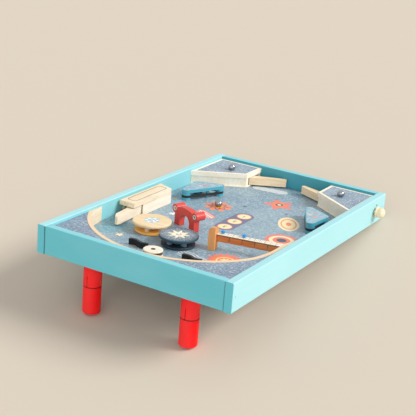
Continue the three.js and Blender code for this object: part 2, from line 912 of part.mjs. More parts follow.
function addKicker() {
  const coverLow = kickerTop - kickerPlate;
  const lean = kickerLean * degrees;
  place(tray, "kicker_box", kickerBox(), beech);
  place(tray, "kicker_cover", kickerCover(), beech);
  const middle = leverMiddle(coverLow);
  place(tray, "kicker_lever", kickerLever(), beech, kickerPivotX, kickerY, middle);
  const pin = pivotPin(coverLow);
  place(tray, "kicker_pivot_pin", pin, steel, kickerPivotX, kickerY);
  const touch = kickerHalf + rodRadius + seatGap - kickerButtonUp * Math.sin(lean);
  const tipX = kickerPivotX + touch / Math.cos(lean) - rodRadius;
  addButton(1, "kicker", kickerButtonY, tipX, innerX - kickerGuideFromWall, kickerSpringTurns);
}

// A spinner: a chamfered top disc, a lower disc with a hub and pegs, and their axle
function addSpinner({ name, x, y, turn }, discMaterial, baseMaterial) {
  const top = playLevel + spinnerHeight;
  const discLow = top - discThickness;
  const bore = axleRadius + runningGap;
  const radius = fieldSize(discRadius);
  const disc = turned(
    [
      [bore, discLow],
      [radius - discChamfer, discLow],
      [radius, discLow + discChamfer],
      [radius, top - discChamfer],
      [radius - discChamfer, top],
      [bore, top],
      [bore, discLow],
    ],
    fine,
  );
  place(tray, "spinner_" + name + "_disc", disc, discMaterial, x, y);
  const baseLow = deck + runningGap;
  const baseTop = baseLow + spinnerBaseThickness;
  const baseRadius = fieldSize(spinnerBaseRadius);
  const base = turned(
    [
      [bore, baseLow],
      [baseRadius, baseLow],
      [baseRadius, baseTop],
      [spinnerHubRadius, baseTop],
      [spinnerHubRadius, discLow - seatGap],
      [bore, discLow - seatGap],
      [bore, baseLow],
    ],
    fine,
  );
  const pegs = [];
  for (let i = 0; i < spinnerPegs; i++) {
    const a = turn * degrees + (i / spinnerPegs) * 2 * Math.PI;
    const px = fieldSize(spinnerPegCircle) * Math.cos(a);
    const py = fieldSize(spinnerPegCircle) * Math.sin(a);
    pegs.push(post(px, py, spinnerPegRadius, baseTop - overrun, discLow - seatGap));
  }
  place(tray, "spinner_" + name + "_base", join(base, ...pegs), baseMaterial, x, y);
  const head = top + seatGap;
  const axle = turned(
    [
      [0, panelBottom],
      [axleRadius, panelBottom],
      [axleRadius, head],
      [axleHeadRadius, head],
      [axleHeadRadius * axleHeadTopShare, head + axleHead],
      [0, head + axleHead],
    ],
    coarse,
  );
  place(tray, "spinner_" + name + "_axle", axle, steel, x, y);
}

// Mushroom bumper: a cap with a groove round it on a stem with a foot
function addBumper() {
  const top = playLevel + bumperHeight;
  const capLow = top - bumperCap;
  const grooveHigh = top - bumperRim;
  const grooveLow = grooveHigh - bumperGroove;
  const cap = turned(
    [
      [0, capLow],
      [bumperRadius - discChamfer, capLow],
      [bumperRadius, capLow + discChamfer],
      [bumperRadius, grooveLow],
      [bumperGrooveRadius, grooveLow],
      [bumperGrooveRadius, grooveHigh],
      [bumperRadius, grooveHigh],
      [bumperRadius, top - discChamfer],
      [bumperRadius - discChamfer, top],
      [bumperHoleRadius, top],
      [0, top - bumperHoleRadius],
    ],
    medium,
  );
  const x = fieldX(bumperX);
  const y = arcY + arcRadius - bumperBelowRail;
  place(tray, "bumper_cap", cap, beech, x, y);
  const stem = turned(
    [
      [0, deck],
      [bumperFootRadius, deck],
      [bumperFootRadius, deck + bumperFoot],
      [bumperStemRadius, deck + bumperFoot],
      [bumperStemRadius, capLow - seatGap],
      [0, capLow - seatGap],
    ],
    medium,
  );
  place(tray, "bumper_stem", stem, beech, x, y);
}

// A short fence whose two faces follow one wave
function fence(side) {
  const near = [];
  const far = [];
  const middle = arcY + arcRadius - fenceBelowRail;
  for (let i = 0; i <= fenceSteps; i++) {
    const t = i / fenceSteps;
    const x = side * (fieldX(fenceInner) + fieldX(fenceLength) * t);
    const y = middle + fenceSwing * Math.sin(2 * Math.PI * t * side);
    near.push([x, y - fenceThickness / 2]);
    far.unshift([x, y + fenceThickness / 2]);
  }
  return slab(polygon([...near, ...far]), deck, deck + fenceHeight);
}

// Gate arch: two legs and a round top, with a round boss through each shoulder
function addGate() {
  const gate = new THREE.Group();
  gate.position.set(fieldX(archX), fieldY(archY), deck);
  gate.rotation.z = -archTurn * degrees;
  tray.add(gate);
  const outline = new THREE.Shape();
  outline.moveTo(-archHalf, 0);
  outline.lineTo(-gateHalf, 0);
  outline.lineTo(-gateHalf, gateSpring);
  outline.absarc(0, gateSpring, gateHalf, Math.PI, 0, true);
  outline.lineTo(gateHalf, 0);
  outline.lineTo(archHalf, 0);
  outline.lineTo(archHalf, archSpring);
  const rise = archHeight - archSpring;
  outline.absellipse(0, archSpring, archHalf, rise, 0, Math.PI, false, 0);
  const options = { depth: archDepth, bevelEnabled: false, curveSegments: medium };
  const arch = new THREE.ExtrudeGeometry(outline, options);
  arch.rotateX(Math.PI / 2).translate(0, archDepth / 2, 0);
  const front = archDepth / 2 + bossProud;
  const along = (radius, from, to, x) => {
    const cylinder = new THREE.CylinderGeometry(radius, radius, to - from, medium);
    return cylinder.translate(x, (from + to) / 2, bossLevel);
  };
  const places = [bossSpread, -bossSpread];
  const bosses = places.map((x) => along(bossRadius, front - bossLength, front, x));
  const holes = places.map((x) => along(plugRadius, front - plugDepth, front + overrun, x));
  place(gate, "gate_arch", cut(join(arch, ...bosses), ...holes), gatePaint);
  const plugFrom = front - plugDepth + seatGap;
  place(gate, "gate_plug_right", along(plugRadius - seatGap, plugFrom, front + plugProud, places[0]), beech);
  place(gate, "gate_plug_left", along(plugRadius - seatGap, plugFrom, front + plugProud, places[1]), beech);
}

const flapRodLevel = playLevel + slatLevel - slatThickness - flapRodBelow;
const rodAcross = slatInset + flapRodInset;
const bridgePlaceX = fieldX(bridgeX);
const bridgePlaceY = arcY + bridgeAboveRailCentre;

// A point of the bridge's own frame in the tray's plan
function bridgePoint(along, across) {
  const turn = bridgeTurn * degrees;
  return new THREE.Vector2(
    bridgePlaceX + along * Math.cos(turn) - across * Math.sin(turn),
    bridgePlaceY + along * Math.sin(turn) + across * Math.cos(turn),
  );
}

// How far the bridge runs from its post to the rail's inner face at a distance across
function bridgeRun(across) {
  const turn = bridgeTurn * degrees;
  return (-straightX - bridgePlaceX + across * Math.sin(turn)) / Math.cos(turn);
}

// Score bridge: a post, a slat with holes for two pegs, and flaps hung on a rod
function addBridge() {
  const bridge = new THREE.Group();
  bridge.position.set(bridgePlaceX, bridgePlaceY, playLevel);
  bridge.rotation.z = bridgeTurn * degrees;
  tray.add(bridge);
  const rodLevel = flapRodLevel - playLevel;
  const side = new THREE.Shape();
  side.moveTo(0, seatGap);
  side.lineTo(0, postHeight);
  side.lineTo(postRound - postWidth, postHeight);
  const roundY = postHeight - postRound;
  side.absarc(postRound - postWidth, roundY, postRound, Math.PI / 2, Math.PI, false);
  side.lineTo(-postWidth, seatGap);
  const options = { depth: postDepth, bevelEnabled: false, curveSegments: 8 };
  const upright = new THREE.ExtrudeGeometry(side, options);
  upright.rotateX(Math.PI / 2).translate(0, postDepth, 0);
  const back = new THREE.Shape();
  back.moveTo(0, 0);
  back.lineTo(postDepth, 0);
  back.absarc(postDepth - postBackRound, postHeight - postBackRound, postBackRound, 0, Math.PI / 2, false);
  back.lineTo(0, postHeight);
  const backOptions = { depth: postWidth + 2 * overrun, bevelEnabled: false, curveSegments: 8 };
  const behind = new THREE.ExtrudeGeometry(back, backOptions);
  behind.rotateX(Math.PI / 2).rotateZ(Math.PI / 2).translate(-postWidth - overrun, 0, 0);
  const body = shaped(solid(upright).intersect(solid(behind)));
  const seat = crossHole(-rodSeat - seatGap, overrun, rodAcross, rodLevel, flapRodRadius + seatGap);
  place(bridge, "bridge_post", cut(body, seat), darkBeech);
  const end = (across) => bridgeRun(across) - seatGap;
  const near = slatInset;
  const far = slatInset + slatWidth;
  const slat = slab(
    polygon([[seatGap, near], [end(near), near], [end(far), far], [seatGap, far]]),
    slatLevel - slatThickness,
    slatLevel,
  );
  const holeAcross = slatInset + scoreHoleInset;
  const pitch = (end(near) - 2 * scoreHoleMargin) / (scoreHoles - 1);
  const holes = [];
  for (let i = 0; i < scoreHoles; i++) {
    const x = scoreHoleMargin + i * pitch;
    const low = slatLevel - slatThickness - overrun;
    holes.push(post(x, holeAcross, scoreHoleRadius, low, slatLevel + overrun));
  }
  place(bridge, "bridge_slat", cut(slat, ...holes), beech);
  const rodEnd = bridgeRun(rodAcross) + rodSeat - seatGap;
  const rod = crossHole(-rodSeat, rodEnd, rodAcross, rodLevel, flapRodRadius);
  place(bridge, "flap_rod", rod, rubber);
  addFlaps(bridge, end(rodAcross - flapHeight), rodLevel);
  scorePegPlaces.forEach((hole, i) => {
    const x = scoreHoleMargin + hole * pitch;
    const name = "score_peg_" + (i + 1);
    place(bridge, name, scorePeg(), pegBlue, x, holeAcross, slatLevel + seatGap);
  });
}

// Peg with a flattened ball head that rests on the slat and a pin in its hole
function scorePeg() {
  const profile = [[0, -scorePinLength], [scorePinRadius, -scorePinLength]];
  const steps = 6;
  const foot = Math.asin(scorePinRadius / scorePegRadius);
  for (let i = 0; i <= steps; i++) {
    const a = foot + (i / steps) * (Math.PI - foot);
    const level = scorePegDomeShare * scorePegRadius * (Math.cos(foot) - Math.cos(a));
    profile.push([scorePegRadius * Math.sin(a), level]);
  }
  profile[profile.length - 1][0] = 0;
  return turned(profile, coarse);
}

// The flaps hang plumb about the rod, so each leans back from the sloping deck, and the last
// one takes what room is left before the rail
function addFlaps(bridge, run, rodLevel) {
  const turn = bridgeTurn * degrees;
  const downY = -Math.sin(tilt) * Math.cos(turn);
  const hang = Math.atan2(downY, Math.cos(tilt));
  const pitch = fieldX(flapPitch);
  const half = flapThickness / 2;
  const bore = flapRodRadius + seatGap;
  for (let i = 0; i < flapCount; i++) {
    const x = seatGap + flapGap / 2 + i * pitch;
    const width = Math.min(pitch - flapGap, run - flapGap / 2 - x);
    const side = new THREE.Shape();
    side.moveTo(-half, -flapHeight);
    side.lineTo(half, -flapHeight);
    side.lineTo(half, 0);
    side.absarc(0, 0, half, 0, Math.PI, false);
    const hole = new THREE.Path();
    hole.absarc(0, 0, bore, 0, 2 * Math.PI, true);
    side.holes.push(hole);
    const options = { depth: width, bevelEnabled: false, curveSegments: 6 };
    const flap = new THREE.ExtrudeGeometry(side, options);
    flap.rotateX(Math.PI / 2).rotateZ(Math.PI / 2);
    flap.rotateX(hang);
    place(bridge, "bridge_flap_" + (i + 1), flap, darkBeech, x, rodAcross, rodLevel);
  }
}

// Slingshot: a plate on three grooved feet, with a rubber band round them and a post behind
// the band's front stretch
function addSling(side, hand, places) {
  const corners = places.map(([fromWall, y]) => [side * (innerX - fromWall), fieldY(y)]);
  const top = playLevel + slingHeight;
  const grooveLow = deck + slingFlange;
  const grooveHigh = grooveLow + bandHeight + 2 * seatGap;
  const plate = slab(hullShape(corners, slingFootRadius), top - slingPlate, top, 8);
  const pieces = [];
  for (const [x, y] of corners) {
    pieces.push(post(x, y, slingFootRadius, deck, grooveLow, coarse));
    pieces.push(post(x, y, slingGrooveRadius, grooveLow - overrun, grooveHigh + overrun, coarse));
    const high = top - slingPlate + overrun;
    pieces.push(post(x, y, slingFootRadius - seatGap, grooveHigh, high, coarse));
  }
  const [near, , far] = corners.map(([x, y]) => new THREE.Vector2(x, y));
  const front = far.clone().sub(near).normalize();
  const middle = near.clone().lerp(far, slingPostShare);
  const out = new THREE.Vector2(front.y, -front.x).multiplyScalar(-Math.sign(near.x));
  middle.addScaledVector(out, -slingPostOut);
  pieces.push(post(middle.x, middle.y, slingPostRadius, deck, top - overrun));
  place(tray, "sling_" + hand + "_frame", join(plate, ...pieces), slingBlue);
  const inner = slingGrooveRadius + seatGap;
  const loop = hullShape(corners, inner + bandThickness);
  loop.holes.push(new THREE.Path(hullShape(corners, inner).getPoints(8)));
  const bandLow = grooveLow + seatGap;
  place(tray, "sling_" + hand + "_band", slab(loop, bandLow, bandLow + bandHeight, 8), rubber);
}

// A ball resting on the rim of its cup
function ball(name, { x, y }, level) {
  const sink = Math.sqrt(ballRadius ** 2 - cupRadius ** 2);
  const sphere = new THREE.SphereGeometry(ballRadius, medium, coarse).rotateX(Math.PI / 2);
  place(tray, name, sphere, steel, x, y, level + sink + seatGap);
}

addFrame();
addLegs();
addRail();
addFlippers();
addKicker();
addSpinner(spinners[0], beech, orangeWood);
addSpinner(spinners[1], navy, navy);
addBumper();
place(tray, "fence_right", fence(1), rubber);
place(tray, "fence_left", fence(-1), rubber);
addGate();
addBridge();
addSling(1, "right", slingRight);
addSling(-1, "left", slingLeft);
ball("ball_on_deck", { x: fieldX(ballX), y: fieldY(ballY) }, playLevel);
ball("ball_on_cover_right", shelfBallPlace(1), housingTop);
ball("ball_on_cover_left", shelfBallPlace(-1), housingTop);

// The origin: on the ground under the middle of the whole object
const box = new THREE.Box3().setFromObject(root, true);
tray.position.set(0, -(box.min.y + box.max.y) / 2, -box.min.z);

export default root;
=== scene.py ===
import json
import math

import bmesh
import bpy
from mathutils import Euler, Matrix, Vector

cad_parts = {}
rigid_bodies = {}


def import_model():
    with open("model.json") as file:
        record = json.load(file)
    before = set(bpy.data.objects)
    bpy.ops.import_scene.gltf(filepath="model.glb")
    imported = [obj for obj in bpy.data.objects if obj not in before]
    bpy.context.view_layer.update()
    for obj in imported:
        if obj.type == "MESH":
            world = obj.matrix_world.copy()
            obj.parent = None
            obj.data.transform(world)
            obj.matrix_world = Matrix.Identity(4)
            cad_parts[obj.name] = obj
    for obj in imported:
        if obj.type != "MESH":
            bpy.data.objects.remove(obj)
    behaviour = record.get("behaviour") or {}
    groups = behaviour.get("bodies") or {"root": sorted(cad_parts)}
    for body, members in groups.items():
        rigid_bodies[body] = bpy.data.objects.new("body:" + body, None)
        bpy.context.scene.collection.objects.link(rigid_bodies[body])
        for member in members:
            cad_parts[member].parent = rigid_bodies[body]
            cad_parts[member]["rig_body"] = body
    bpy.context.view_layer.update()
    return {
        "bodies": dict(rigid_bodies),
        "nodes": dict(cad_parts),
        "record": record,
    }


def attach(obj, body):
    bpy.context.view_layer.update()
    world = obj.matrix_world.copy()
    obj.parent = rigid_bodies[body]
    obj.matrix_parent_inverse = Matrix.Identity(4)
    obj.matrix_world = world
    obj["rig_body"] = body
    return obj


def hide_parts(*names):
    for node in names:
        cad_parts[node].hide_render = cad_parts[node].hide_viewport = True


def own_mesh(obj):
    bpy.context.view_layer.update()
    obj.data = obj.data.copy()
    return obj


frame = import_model()
record = frame["record"]

# Lengths below are in millimetres in the tray's own frame, where nothing else is said: the
# origin lies in the middle of its underside, X points to the player's right, Y to the leg end,
# and Z out of the play panel
MM = 0.001
HANDS = ("right", "left")
FULL_TURN = 2 * math.pi
HALF_TURN = math.pi
QUARTER_TURN = math.pi / 2

# The photograph's view, with places in metres in the world's frame
CAMERA_PLACE = (-0.9073, 1.50817, 1.00978)
CAMERA_AIM = (0.13066, -0.15268, 0)
CAMERA_ROLL = math.radians(-0.803)
CAMERA_LENS = 94.1
CAMERA_SENSOR = 36

# Lamps: name, direction towards the lamp in the world's frame, strength, spread and colour
LAMPS = (
    ("key", (-0.78, -0.36, 0.58), 2.6, math.radians(24), (1, 0.985, 0.96)),
    ("fill", (-0.42, 0.85, 0.3), 1.1, math.radians(70), (1, 0.99, 0.975)),
)
SKY_STRENGTH = 0.56
SKY_COLOUR = (1, 1, 1, 1)
BACKGROUND_STRENGTH = 1.0

# Floor, with half its width in metres
FLOOR_HALF = 12
FLOOR_CELLS = 8
FLOOR_COLOUR = "#D3C7B7"
FLOOR_ROUGHNESS = 0.9

# Rounding of edges: widths, the angles between which an edge gets it, and the limits for
# smooth shading, for flat faces and for merged points
PAINTED_EDGE = 0.9
WOOD_EDGE = 0.8
FINE_EDGE = 0.4
ROD_EDGE = 0.2
BAND_EDGE = 0.9
GATE_EDGE = 1.6
POST_EDGE = 1.4
EDGE_ANGLE = math.radians(35)
KNIFE_ANGLE = math.radians(150)
SMOOTH_ANGLE = math.radians(32)
FLAT_ANGLE = math.radians(0.6)
MERGE_GAP = 0.004

# Worn edges in materials: samples, and how far normals agree where wear starts and is full
EDGE_SAMPLES = 6
EDGE_FADE = (0.999, 0.9)

# Turned pieces. A cut is how far a cut corner goes in and how far along
TURN_STEPS = 96
SMALL_STEPS = 48
HEAD_STEPS = 64
AXIS_GAP = 1e-6
FILLET_STEPS = 5
FILLET_SHARE = 2.2
FILLET_LEAST = 0.02
STRAIGHT_ANGLE = math.radians(165)

# Boards and play panel, with the place of the near board's mount first
NEAR_END_Y = -299.3
NEAR_END_Z = 25
BOARD_THICKNESS = 15
BOARD_FACE_X = 191
BOARD_TOP = 51
DECK_Z = 17

# Marks and painted light in the boards' paint, each with the place where it starts and where it
# is full
INNER_FACE = (176.6, 176.2)
SIDE_END_FACES = (299.1, 299.5)
SIDE_SEAM = (177.3, 176.6)
CROSS_SEAM = (174.6, 175.2)
OUTER_FACE = (299, 299.4)
TOP_BAND = 0.5
SCREW_Y = 291
SCREW_Z = 26.3
SCREW_RADIUS = 1.7
HOLE_Y = -258.3
HOLE_Z = 36.7
HOLE_RADIUS = 2.1
HOLE_DEPTH = 5

# Rail
RAIL_X = 8
RAIL_Y = 95
RAIL_INNER = 180
RAIL_PLY = 1.75
RAIL_TOP = 0.4

# Legs
LEG_TENON = 26.3
LEG_TENON_RADIUS = 10.7
LEG_SEAM_HALF = 0.9
LEG_SEAM_BLUR = 0.4
LEG_CUT = (0.8, 0.9)
TENON_CUT = 1
FOOT_ROUND = 3.2
FOOT_MARGIN = 0.5
FOOT_STEPS = 8
FOOT_RIM = 4.8
FOOT_DISH = 0.6

# Flippers, their covers and pins
FLIPPER_SLOPE = math.atan2(63, 96)
LEVER_DROOP = {"right": math.radians(28), "left": math.radians(21)}
COVER_BORDER = 5.6
PIN_CUT = (0.4, 0.5)

# Push buttons, and for each the joint that presses it and the turns of its spring
BUTTONS = {
    "flipper_right": ("button_right_press", 8),
    "flipper_left": ("button_left_press", 8),
    "kicker": ("kicker_button_press", 4),
}
ROD_RADIUS = 4
ROD_STEPS = 8
COLLAR_RADIUS = 5.6
COLLAR_THICKNESS = 3
COLLAR_GAP = 0.3
FLANGE_RADIUS = 11
FLANGE_THICKNESS = 2.6
FLANGE_LOW_CUT = (0.3, 1.0)
FLANGE_HIGH_CUT = (0.4, 0.3)
KNOB_STANDOFF = 4
NECK_RADIUS = 8.8
NECK_STEPS = 5
BULB_RADIUS = 9.8
BULB_LENGTH = 14
BULB_DOME_SHARE = 0.7
BULB_STEPS = 16
SPRING_STEPS = 28
SPRING_SIDES = 8
SPRING_WIRE = 0.4

# Side kicker, and the frame line on its cover
KICKER_LEAN = math.radians(5.3)
LINE_PLACE = (155.8, 24)
LINE_BAR = (10.4, 53.6, 7)
LINE_WIDTH = 1.8

# Spinners
SPINNER_TURN = {"plain": math.radians(9), "compass": math.radians(65)}
COMPASS_TURN = 0.3
DISC_CUT = (1.2, 0.9)
BASE_THICKNESS = 4
HUB_RADIUS = 10
HUB_SEAT = 0.02
HUB_GAP = 0.3
PEG_CIRCLE = 17.5
PEG_RADIUS = 5
PEG_COUNT = 4
AXLE_BORE = 3.4
AXLE_RADIUS = 3
AXLE_HEAD = 1.4
AXLE_EDGE = 0.25
AXLE_DIMPLE = 1.5
AXLE_DIMPLE_PROFILE = ((AXLE_DIMPLE, 0), (AXLE_DIMPLE, 0.7), (0, 0.9))
AXLE_HEAD_STEPS = 8

# Bumper, with its bore as radii and depths below the cap's top
CAP_CUT = 0.8
CAP_TOP_CUT = 1.2
CAP_RIM = 2.5
CAP_GROOVE = 4.5
CAP_NECK = 11
CAP_HOLE = 3.6
CAP_HOLE_PROFILE = ((CAP_HOLE + 0.6, 0), (CAP_HOLE, 0.6), (CAP_HOLE, 2.2), (0, 2.6))
# How far painted shade reaches round the bore, and how deep its disc lies
BORE_SHADE_OVER = 0.7
BORE_SHADE_DEPTH = 1.6
# How far the painted shade reaches below and above the groove
GROOVE_SHADE_LOW = 0.6
GROOVE_SHADE_HIGH = 0.5
STEM_RADIUS = 8
STEM_FOOT = 3

# Gate arch, and the plugs' screw as radii and depths below their face
GATE_TURN = math.radians(-20)
PLUG_DEPTH = 3.3
PLUG_CUT = (0.6, 0.5)
PLUG_SCREW = ((2.6, 0), (2.2, 1.0), (1.6, 1.0), (1.2, 0.4), (0, 0.3))
PLUG_SCREW_RADIUS = 1.9
ANY_DEPTH = 1e6

# Score bridge, its ruler and its pegs
BRIDGE_TURN = math.radians(192)
BRIDGE_PLACE = (-54.3, 127.3)
SLAT_RUN = 114
SLAT_MARGIN = 9
SLAT_NUMBERS = 11
SLAT_NUMBER_ACROSS = 11.5
SLAT_NUMBER_SIZE = 3.4
SLAT_SIDE = 0.6
SLAT_PRINT_DEPTH = 0.2
SLAT_BORDER = 0.3
TICK_PITCH = 2.8
TICK_START = (13.6, 13.7)
TICK_END = (17.2, 17.1)
FLAP_COUNT = 5
SCORE_PIN = 1.2
SCORE_PIN_CUT = (0.2, 0.3)
SCORE_DOME_SHARE = 0.65
SCORE_STEPS = 32

# Balls
BALL_STEPS = 48

# Prints: how deep below a top they start and their outline's points lie, and soft borders
PRINT_DEPTH = 0.3
OUTLINE_DEPTH = 1
PRINT_STEP = 0.05
PRINT_BLUR = 0.12
DISC_PRINT = (0.12, 0.04)

# Numbers on the deck, each with its place along the tray, and the form of all numbers
NUMBER_X = -5
NUMBER_ROWS = {"3": 6, "2": -30, "1": -66}
NUMBER_SIZE = 13
NUMBER_THICKNESS = 0.1
NUMBER_GAP = 0.02
NUMBER_MERGE_GAP = 0.0005

# Grain that runs along the tray, or up from it
ALONG_Y = (0, 0, QUARTER_TURN)
UPRIGHT = (0, -QUARTER_TURN, 0)

# Colours of print and paint
BRIGHT = "#FFFFFF"
DARK = "#000000"
SALMON = "#EE7F6E"
ORANGE = "#F58A5A"
NAVY = "#3B5266"
CREAM = "#F7E6B4"
WHITE = "#EEF1EE"
SLATE = "#6B6B86"
TEAL = "#5F9FB2"
MUSTARD = "#E9A94A"
END_COLOUR = "#66C5D2"
# Painted highlight laid on the end boards' tops
TOP_PAINTED_HIGHLIGHT = "#86CFD8"
# Painted shade laid on the side boards' inner faces
INNER_PAINTED_SHADE = "#8DD0D9"
# Painted shade laid in the boards' seams, and how strongly
SEAM_PAINTED_SHADE = "#20616F"
SEAM_SHADE_SHARE = 0.85

# Woods: light tone, dark tone and streaks
PALE = ("#F8EFDF", "#F3E4C9", "#DABD92")
WALL = ("#FFFAEC", "#FDF1DA", "#EBD3AC")
COVER = ("#F5E8D0", "#EFDCBB", "#D3B182")
LEVER = ("#F8E6C9", "#F0D7B0", "#CDA46E")
BENT = ("#F7EBD6", "#F0DEBF", "#CFA676")
HONEY = ("#F3E1BF", "#EDD3A6", "#D0A46C")
TURNED = ("#F6E4C6", "#EDD6AF", "#D0AA78")
BUMPER = ("#F7F1E4", "#EFE4CE", "#CDB28A")
RUST = ("#F3B97C", "#E6A05C", "#AF682E")
FLAP = ("#EFA05C", "#DA803E", "#8F4517")

# Speckled prints: base, deeper tone, flecks and sparks
DECK_TONES = ("#93ABB8", "#7E9BAD", "#5A7C91", "#CBD7DB")
CORNER_TONES = ("#8296AA", "#73889E", "#52687F", "#D8E0E4")
COVER_TONES = ("#95A7B6", "#8296A9", "#5C738B", "#E2E7E8")
SLING_TONES = ("#93B6C4", "#80A8B9", "#5A889D", "#CFDFE4")
COMPASS_TONES = ("#4C626F", "#41566A", "#2A3D49", "#A9B7BD")

# Layers of shape, sizes and colour
NUMBER_DISC = (("disc", (14.2,), SALMON), ("disc", (12.6,), CREAM))
COMPASS_STAR = (
    ("star", (8, 13.5, 5, 0.5), "#F0E2BE"),
    ("star", (8, 20.5, 4), "#FAF0D2"),
    ("disc", (5.2,), "#DD8444"),
)
HUB_PETALS = (
    ("flower", (6, 13, 2.4), "#A9C9D6"),
    ("flower", (6, 10.4, 2.2, HALF_TURN), "#EEF4F4"),
    ("ring", (6.4, 0.9), "#9CBECD"),
)

# Ornaments of the deck: place, turn, stretch across, and layers as above
BURST = (
    ("flower", (8, 24, 4.5), ORANGE),
    ("flower", (8, 17, 3.2, HALF_TURN), NAVY),
    ("star", (8, 19, 9, 0.5), SALMON),
    ("disc", (9.5,), MUSTARD),
)
SUN = (
    ("star", (16, 34, 25), SALMON),
    ("disc", (22,), ORANGE),
    ("ring", (15, 1.2), CREAM),
    ("star", (8, 11, 5), CREAM),
)
PETALS = (
    ("flower", (5, 22, 8), SALMON),
    ("flower", (5, 13, 5, HALF_TURN), ORANGE),
    ("disc", (7.5,), NAVY),
    ("disc", (4,), CREAM),
)
OVAL = (("disc", (20,), CREAM), ("ring", (14, 1.0), SALMON), ("disc", (5,), ORANGE))
RINGS = tuple(
    ("disc", (radius,), colour)
    for radius, colour in ((30, SALMON), (23, CREAM), (16, SALMON), (9, NAVY))
)
ORNAMENTS = (
    ((NUMBER_X, NUMBER_ROWS["2"]), 0, 1, (("bar", (19, 55, 19), SLATE),)),
    *(((NUMBER_X, y), 0, 1, NUMBER_DISC) for y in NUMBER_ROWS.values()),
    ((62, -83), 0, 1, BURST),
    ((-92, 152), 0, 1, SUN),
    ((-22, -176), 0.4, 1, PETALS),
    ((-88, -88), 0.5, 1.9, OVAL),
    ((-118, -2), 0, 1, RINGS),
    ((56, -28), -0.5, 1, (("bar", (26, 9, 9), SALMON),)),
)

# Waved lines of the deck: place, turn, rounded bar, waves, colour and share
WAVES = (
    ((56, -28), -0.5, (23, 6, 6), (6, 0, 20, 0.5), WHITE, 1.0),
    ((36, -246), 0.12, (38, 11, 11), (5, 1.3, 24, 0.55), WHITE, 1.0),
    ((138, 150), 0.9, (40, 22, 20), (6.5, 2, 30, 0.45), TEAL, 1.0),
    ((-40, 176), -0.3, (30, 14, 12), (6, 1.6, 26, 0.45), WHITE, 0.7),
)

# Small stars of the deck: place, size and colour
STARS = (
    (60, 196, 7, MUSTARD),
    (112, 172, 8, CREAM),
    (104, 14, 8, WHITE),
    (-58, -136, 5, SLATE),
    (-110, -150, 5, WHITE),
    (24, -120, 5, NAVY),
    (150, -66, 6, MUSTARD),
    (-142, 60, 6, CREAM),
    (-20, 226, 7, SALMON),
)
STAR_POINTS = 5
STAR_WAIST = 0.45
STAR_TURN = 0.3

# Marks on the slingshots: shift from the middle, turn and colour
SLING_MARKS = (
    ((-9, 5), 0.5, SALMON),
    ((5, -2), -0.4, "#F3C9B4"),
    ((0, -17), 1.2, SALMON),
)
SLING_BORDER = 1.6
SLING_BAR = (5, 3.4, 3.4)
SLING_WAVES = (3.6, 0.5, 8, 0.6)


def tray_matrix():
    """The tray's frame in the world, from the mount on the near end board."""
    near = next(m for m in record["mounts"] if m["name"] == "near_end")
    axis = Vector(near["axis"])
    lean = Matrix.Rotation(math.atan2(-axis.z, -axis.y), 4, "X")
    on_board = Vector((0, NEAR_END_Y * MM, NEAR_END_Z * MM))
    home = Vector(near["pos_m"]) - lean @ on_board
    home.x = 0
    return Matrix.Translation(home) @ lean


TRAY = tray_matrix()
INTO_TRAY = TRAY.inverted()


def tray_points(node):
    """A node's vertices in the tray's frame."""
    return [(INTO_TRAY @ v.co) / MM for v in frame["nodes"][node].data.vertices]


def tray_box(node):
    """A node's lowest corner, highest corner and middle in the tray's frame."""
    points = tray_points(node)
    low = Vector(min(p[i] for p in points) for i in range(3))
    high = Vector(max(p[i] for p in points) for i in range(3))
    return low, high, (low + high) / 2


def at(x, y, z, turn=(0, 0, 0)):
    """A place in the tray's frame as a matrix in metres."""
    return Matrix.Translation(Vector((x, y, z)) * MM) @ Euler(turn).to_matrix().to_4x4()


def put_in_scene(name, data):
    item = bpy.data.objects.new(name, data)
    bpy.context.scene.collection.objects.link(item)
    return item


def linear(code):
    """A colour written as #RRGGBB, as linear light."""
    values = [int(code[i:i + 2], 16) / 255 for i in (1, 3, 5)]
    light = [v / 12.92 if v <= 0.04045 else ((v + 0.055) / 1.055) ** 2.4 for v in values]
    return (*light, 1.0)


# Materials: the steps that build one


